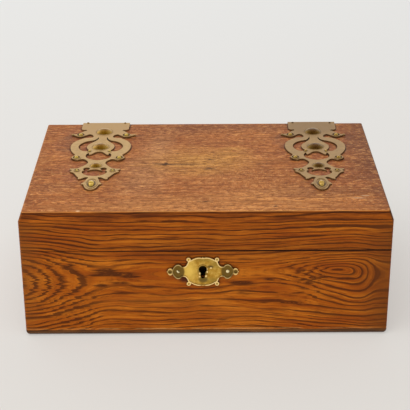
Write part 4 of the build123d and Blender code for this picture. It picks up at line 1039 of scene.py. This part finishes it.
# %% Brass of the escutcheon
def escutcheon_brass():
    """Cast brass with the rims rubbed bright and the sunk lobes gone dark olive."""
    material, tree = new_material("worn_cast_brass")
    vector, split = millimetres(tree)
    centre = (ESCUTCHEON_AT[0], 0, ESCUTCHEON_AT[1])
    local = add(tree, "VectorMath", {0: vector, 1: centre}, operation="SUBTRACT")
    parts = add(tree, "SeparateXYZ", {0: local})
    place = add(tree, "CombineXYZ", {0: parts.outputs[0], 1: parts.outputs[2]})
    mottle = patches(tree, vector, (5, 4, 5), 4.0, 0.7, (6, 3, 1))
    tone = add(
        tree,
        "ValToRGB",
        {0: mottle},
        stops=[(0.32, "#A07426"), (0.5, "#BE9038"), (0.68, "#DAB258")],
    )
    for wash in PLATE_WASHES:
        tone = stain(tree, tone, place, *wash)
    near, far = (ESCUTCHEON_FACE + deep for deep in RIM_SHINE)
    rim = add(tree, "MapRange", {0: split.outputs[1], 1: near, 2: far, 3: 1.0, 4: 0.0})
    away = spot_distance(tree, place, [(0, -3, 6.5, 12)])
    wear_and_sheen = add(tree, "MapRange", {0: away, 1: 0.9, 2: 1.1, 4: 0.85})
    rim = add(tree, "Math", {0: rim, 1: wear_and_sheen}, operation="MULTIPLY")
    away = spot_distance(tree, place, RIM_GAPS)
    gaps = add(tree, "MapRange", {0: away, 1: 0.6, 2: 1.2, 3: 0.1, 4: 1.0})
    rim = add(tree, "Math", {0: rim, 1: gaps}, operation="MULTIPLY")
    near = spot_distance(tree, place, KEY_NICKS)
    nicks = add(tree, "MapRange", {0: near, 1: 0.7, 2: 1.1, 3: 0.9, 4: 0.0})
    rim = add(tree, "Math", {0: rim, 1: nicks}, operation="MAXIMUM")
    tone = add(tree, "Mix", {0: rim, 6: tone, 7: "#FFDC94"}, data_type="RGBA")
    # painted shade inside the keyhole
    tone = stain(tree, tone, place, KEY_HOLE_SHADE, "#120C05", 0.97, 1.03, 0.97)
    return finish_material(material, worn_metal(tree, tone, mottle, 0.38))


ESCUTCHEON = escutcheon_brass()

# %% Brass of its pins
# the bar across the left pin is a painted highlight
BAR_TURN = math.radians(50)
BAR_HALF = (0.5, 0.75)  # mm from the middle of the bar to where it starts to darken, and is dark


def pins_with_painted_glint():
    """Pins rubbed bright by every hand that reached for the key. The left one is dark but for a
    bar across it, a painted highlight."""
    material, tree = new_material("rubbed_brass_pins")
    vector, split = millimetres(tree)
    centre = (ESCUTCHEON_AT[0] - PIN_OUT, 0, ESCUTCHEON_AT[1])
    local = add(tree, "VectorMath", {0: vector, 1: centre}, operation="SUBTRACT")
    across = (math.cos(BAR_TURN), 0, math.sin(BAR_TURN))
    across = add(tree, "VectorMath", {0: local, 1: across}, operation="DOT_PRODUCT")
    away = add(tree, "Math", {0: across.outputs["Value"]}, operation="ABSOLUTE")
    beside = add(tree, "MapRange", {0: away, 1: BAR_HALF[0], 2: BAR_HALF[1]})
    left = add(tree, "Math", {0: split.outputs[0], 1: ESCUTCHEON_AT[0]}, operation="LESS_THAN")
    dark = add(tree, "Math", {0: beside, 1: left}, operation="MULTIPLY")
    mottle = patches(tree, vector, (2, 2, 2), 3.0, 0.6, (2, 3, 4))
    tone = add(tree, "ValToRGB", {0: mottle}, stops=[(0.35, "#FFE4A0"), (0.6, "#FFF0C0")])
    tone = add(tree, "Mix", {0: dark, 6: tone, 7: "#6E5E36"}, data_type="RGBA")
    return finish_material(material, worn_metal(tree, tone, mottle, 0.5, 0.6))


ESCUTCHEON_PINS = pins_with_painted_glint()

# %% [markdown]
# ## Plain metal
# The lock is made of rolled brass sheet, never polished: fine lines from the rolls and brown
# stains. Screws, spring and hinge pins are bright steel that has greyed. Rolling lines are a few
# hundredths of a millimetre apart and are drawn 0.5 mm apart.

# %% Sheet brass and steel
LOCK_KEYHOLE_SHADE = [(ESCUTCHEON_AT[0], ESCUTCHEON_AT[1], 6, 8)]  # painted shade, black, where the keyhole looks in


def rolled_metal(name, tones, stained, rough):
    """Rolled sheet or drawn wire: fine lines along X, soft stains, and black painted shade where
    the keyhole looks in.
    """
    material, tree = new_material(name)
    vector, split = millimetres(tree)
    lines = patches(tree, vector, (40, 0.5, 0.5), 2.0, 0.6, (1, 2, 3))
    tone = add(tree, "ValToRGB", {0: lines}, stops=zip((0.3, 0.5, 0.7), tones))
    soft = patches(tree, vector, (9, 9, 9), 3.0, 0.6, (5, 2, 3), (0.48, 0.66, 0.0, 0.7))
    tone = add(tree, "Mix", {0: soft, 6: tone, 7: stained}, data_type="RGBA")
    # dirt, and painted shade, in the corners next to other pieces
    tone = dirt_and_shade(tree, tone, 5 * MM, "#1E160C")
    place = add(tree, "CombineXYZ", {0: split.outputs[0], 1: split.outputs[2]})
    # painted shade behind the keyhole
    tone = stain(tree, tone, place, LOCK_KEYHOLE_SHADE, "#0E0804", 0.8, 1.1, 0.92)
    return finish_material(material, worn_metal(tree, tone, lines, rough))


LOCK_BRASS = rolled_metal("rolled_brass", ("#A8843C", "#B8924A", "#C8A45C"), "#7A5E2C", 0.4)
STEEL = rolled_metal("greyed_steel", ("#7E7C78", "#92908C", "#A6A4A0"), "#5E5850", 0.38)

# %% [markdown]
# ## Which piece has which finish
# The record that comes with the model names a material slot for each node. Each slot has one
# finish for most of its nodes, and others for the few whose names end in a certain way. Giving
# every node its finish by hand would do for a box this size, but a new divider or stud would then
# be left grey.

# %% Which piece has which finish
FINISH = {
    "oak": {
        "": oak_front,
        "left_wall": oak_side,
        "right_wall": oak_side,
        "back_wall": oak_back,
        "bottom_board": oak_bottom,
    },
    "oak_top": {"": oak_top},
    "oak_inside": {"": oak_divisions},
    "baize": {"": baize},
    "brass_straps": {"": STRAP_BRASS["left"], "right": STRAP_BRASS["right"]},
    "brass_studs": {
        "": PINS,
        "large_studs": STUDS,
        "neck_studs": STUDS,
        "escutcheon_pins": ESCUTCHEON_PINS,
    },
    "brass_escutcheon": {"": ESCUTCHEON},
    "brass_lock": {"": LOCK_BRASS},
    "steel": {"": STEEL},
}
for entry in frame["record"]["subparts"]:
    choices = FINISH[entry["material_slot"]]
    ending = max((e for e in choices if entry["node"].endswith(e)), key=len)
    slots = nodes[entry["node"]].data.materials
    slots.clear()
    slots.append(choices[ending])

# %% [markdown]
# ## Raised work on the straps
# The founder's pattern had a rim round each pin's cup, round each dome's seat and round the flower
# at the tip. They are round bars that lie half sunk in the plate. They could be carved into the
# casting, but a curve with a round bevel keeps the plate's own edges clean and can be left out of
# a lighter model.

# %% Where a point of a strap is
STRAP_THICK = 1.5  # mm
STRAP_FACE = LID_FACE + STRAP_THICK
print("face of the straps:", round(STRAP_FACE, 1), "mm up")


def strap_point(side, u, v, z):
    """Place in metres of the point u out and v (negative: forwards) on a strap, z mm up."""
    x, y = STRAP_AT[side]
    x += u * math.cos(LEAN) + v * math.sin(LEAN)
    y += v * math.cos(LEAN) - u * math.sin(LEAN)
    return Vector((x, y, z)) * MM


# %% Round bars
SWELL = 1.035  # a NURBS runs a little inside its points, so they lie this much further out


def bar(name, loops, radius):
    """A curve piece made of closed round bars. Each loop is a list of places in metres."""
    data = bpy.data.curves.new(name, "CURVE")
    data.dimensions, data.bevel_depth, data.bevel_resolution = "3D", radius * MM, 3
    data.resolution_u = 6
    for loop in loops:
        spline = data.splines.new("NURBS")
        spline.points.add(len(loop) - 1)
        for point, place in zip(spline.points, loop):
            point.co = (*place, 1)
        spline.order_u, spline.use_cyclic_u = 3, True
    piece = bpy.data.objects.new(name, data)
    bpy.context.scene.collection.objects.link(piece)
    return piece


def circle(side, u, v, radius, count=12):
    """Points of a circle on a strap, for a NURBS."""
    turns = [2 * math.pi * k / count for k in range(count)]
    reach = radius * SWELL
    return [
        strap_point(side, u + reach * math.cos(a), v + reach * math.sin(a), STRAP_FACE)
        for a in turns
    ]


# %% Rims and seats
CUP_WALL = 0.4  # mm from the edge of a cup out to the middle of its rim
RIM_BAR, SEAT_BAR = 0.65, 0.4  # mm, radius of the bars
FLOWER_RIM = [
    (2.4, -153.4), (4.6, -157.0), (5.4, -161.0), (5.9, -165.0), (4.9, -168.8), (3.2, -172.6),
    (1.6, -175.0), (0, -176.0),
]  # fmt: skip
for side in ("left", "right"):
    loops = []
    for u, v, radius in CUPS + LEAF_CUPS:
        loops += [circle(side, flip * u, v, radius + CUP_WALL) for flip in (1, -1)]
    mirrored = FLOWER_RIM + [(-u, v) for u, v in reversed(FLOWER_RIM[:-1])]
    loops.append([strap_point(side, u, v, STRAP_FACE) for u, v in mirrored])
    rims = bar(f"strap_{side}_rims", loops, RIM_BAR)
    seats = bar(f"strap_{side}_seats", [circle(side, 0, v, r) for v, r in SEATS], SEAT_BAR)
    for piece in (rims, seats):
        piece.data.materials.append(STRAP_BRASS[side])
        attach(piece, "lid")
    print("rims on the", side, "strap:", len(loops) + len(SEATS))

# %% [markdown]
# ## Beads and bosses
# A small turned bead stands on each strap where it bends down over the back edge, a smaller one on
# each lower corner of the middle leaf, and a long boss lies in the flower at the tip. Turned work
# is a profile spun round an axis, and the boss is the same work drawn out along the strap.
# Blender's Screw modifier would do it too; spinning the profile with bmesh leaves a plain closed
# mesh.

# %% Turned work
TURN_STEPS = 20
WELD = 0.01 * MM  # points nearer than this become one: both ends of the spin, and the poles


def turned(name, places, profile, lean=0.0, stretch=1.0):
    """One mesh of turned beads. profile is (radius, height) in mm, from the top to the foot.
    stretch draws a bead out along Y."""
    mesh = bmesh.new()
    for place in places:
        points = [mesh.verts.new((r * MM, 0, h * MM)) for r, h in profile]
        edges = [mesh.edges.new(pair) for pair in zip(points, points[1:])]
        bmesh.ops.spin(
            mesh,
            geom=points + edges,
            axis=(0, 0, 1),
            cent=(0, 0, 0),
            angle=2 * math.pi,
            steps=TURN_STEPS,
        )
        fresh = [v for v in mesh.verts if not v.tag]
        bmesh.ops.remove_doubles(mesh, verts=fresh, dist=WELD)
        fresh = [v for v in mesh.verts if not v.tag]
        turn = Matrix.Translation(place) @ Matrix.Rotation(lean, 4, "X")
        turn = turn @ Matrix.Scale(stretch, 4, (0, 1, 0))
        bmesh.ops.transform(mesh, matrix=turn, verts=fresh)
        for v in fresh:
            v.tag = True
    bmesh.ops.recalc_face_normals(mesh, faces=mesh.faces)
    data = bpy.data.meshes.new(name)
    mesh.to_mesh(data)
    mesh.free()
    data.polygons.foreach_set("use_smooth", [True] * len(data.polygons))
    piece = bpy.data.objects.new(name, data)
    bpy.context.scene.collection.objects.link(piece)
    return piece


# %% Beads and bosses
BEAD_PROFILE = [(0, 1.2), (0.9, 1.0), (1.5, 0.4), (1.6, -0.2), (1.2, -0.9), (1.2, -1.8), (0, -1.8)]
BEAD_SPOTS = [(-20.3, -0.6), (20.3, -0.6)]
BEAD_LEAN = math.radians(-40)  # the beads stand square to the bend, leaning back
BEAD_SINK = 0.5  # mm below the strap's face
DOT_PROFILE = [(0, 1.3), (0.8, 1.1), (1.3, 0.5), (1.4, -0.2), (1.2, -0.8), (0, -0.8)]
BOSS_PROFILE = [(0, 2.2), (1.4, 2.0), (2.3, 1.2), (2.7, 0.3), (2.7, -0.8), (0, -0.8)]
BOSS_LENGTH = 2.5  # times its width
for side in ("left", "right"):
    spots = [strap_point(side, u, v, STRAP_FACE - BEAD_SINK) for u, v in BEAD_SPOTS]
    beads = turned(f"strap_{side}_beads", spots, BEAD_PROFILE, BEAD_LEAN)
    beads.data.materials.append(STUDS)
    spots = [strap_point(side, flip * u, v, STRAP_FACE) for u, v in DOTS for flip in (1, -1)]
    dots = turned(f"strap_{side}_dots", spots, DOT_PROFILE)
    dots.data.materials.append(PINS)
    spots = [strap_point(side, *FLOWER, STRAP_FACE)]
    boss = turned(f"strap_{side}_boss", spots, BOSS_PROFILE, stretch=BOSS_LENGTH)
    boss.data.materials.append(PINS)
    for piece in (beads, dots, boss):
        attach(piece, "lid")
        print(piece.name, "has", len(piece.data.polygons), "faces")
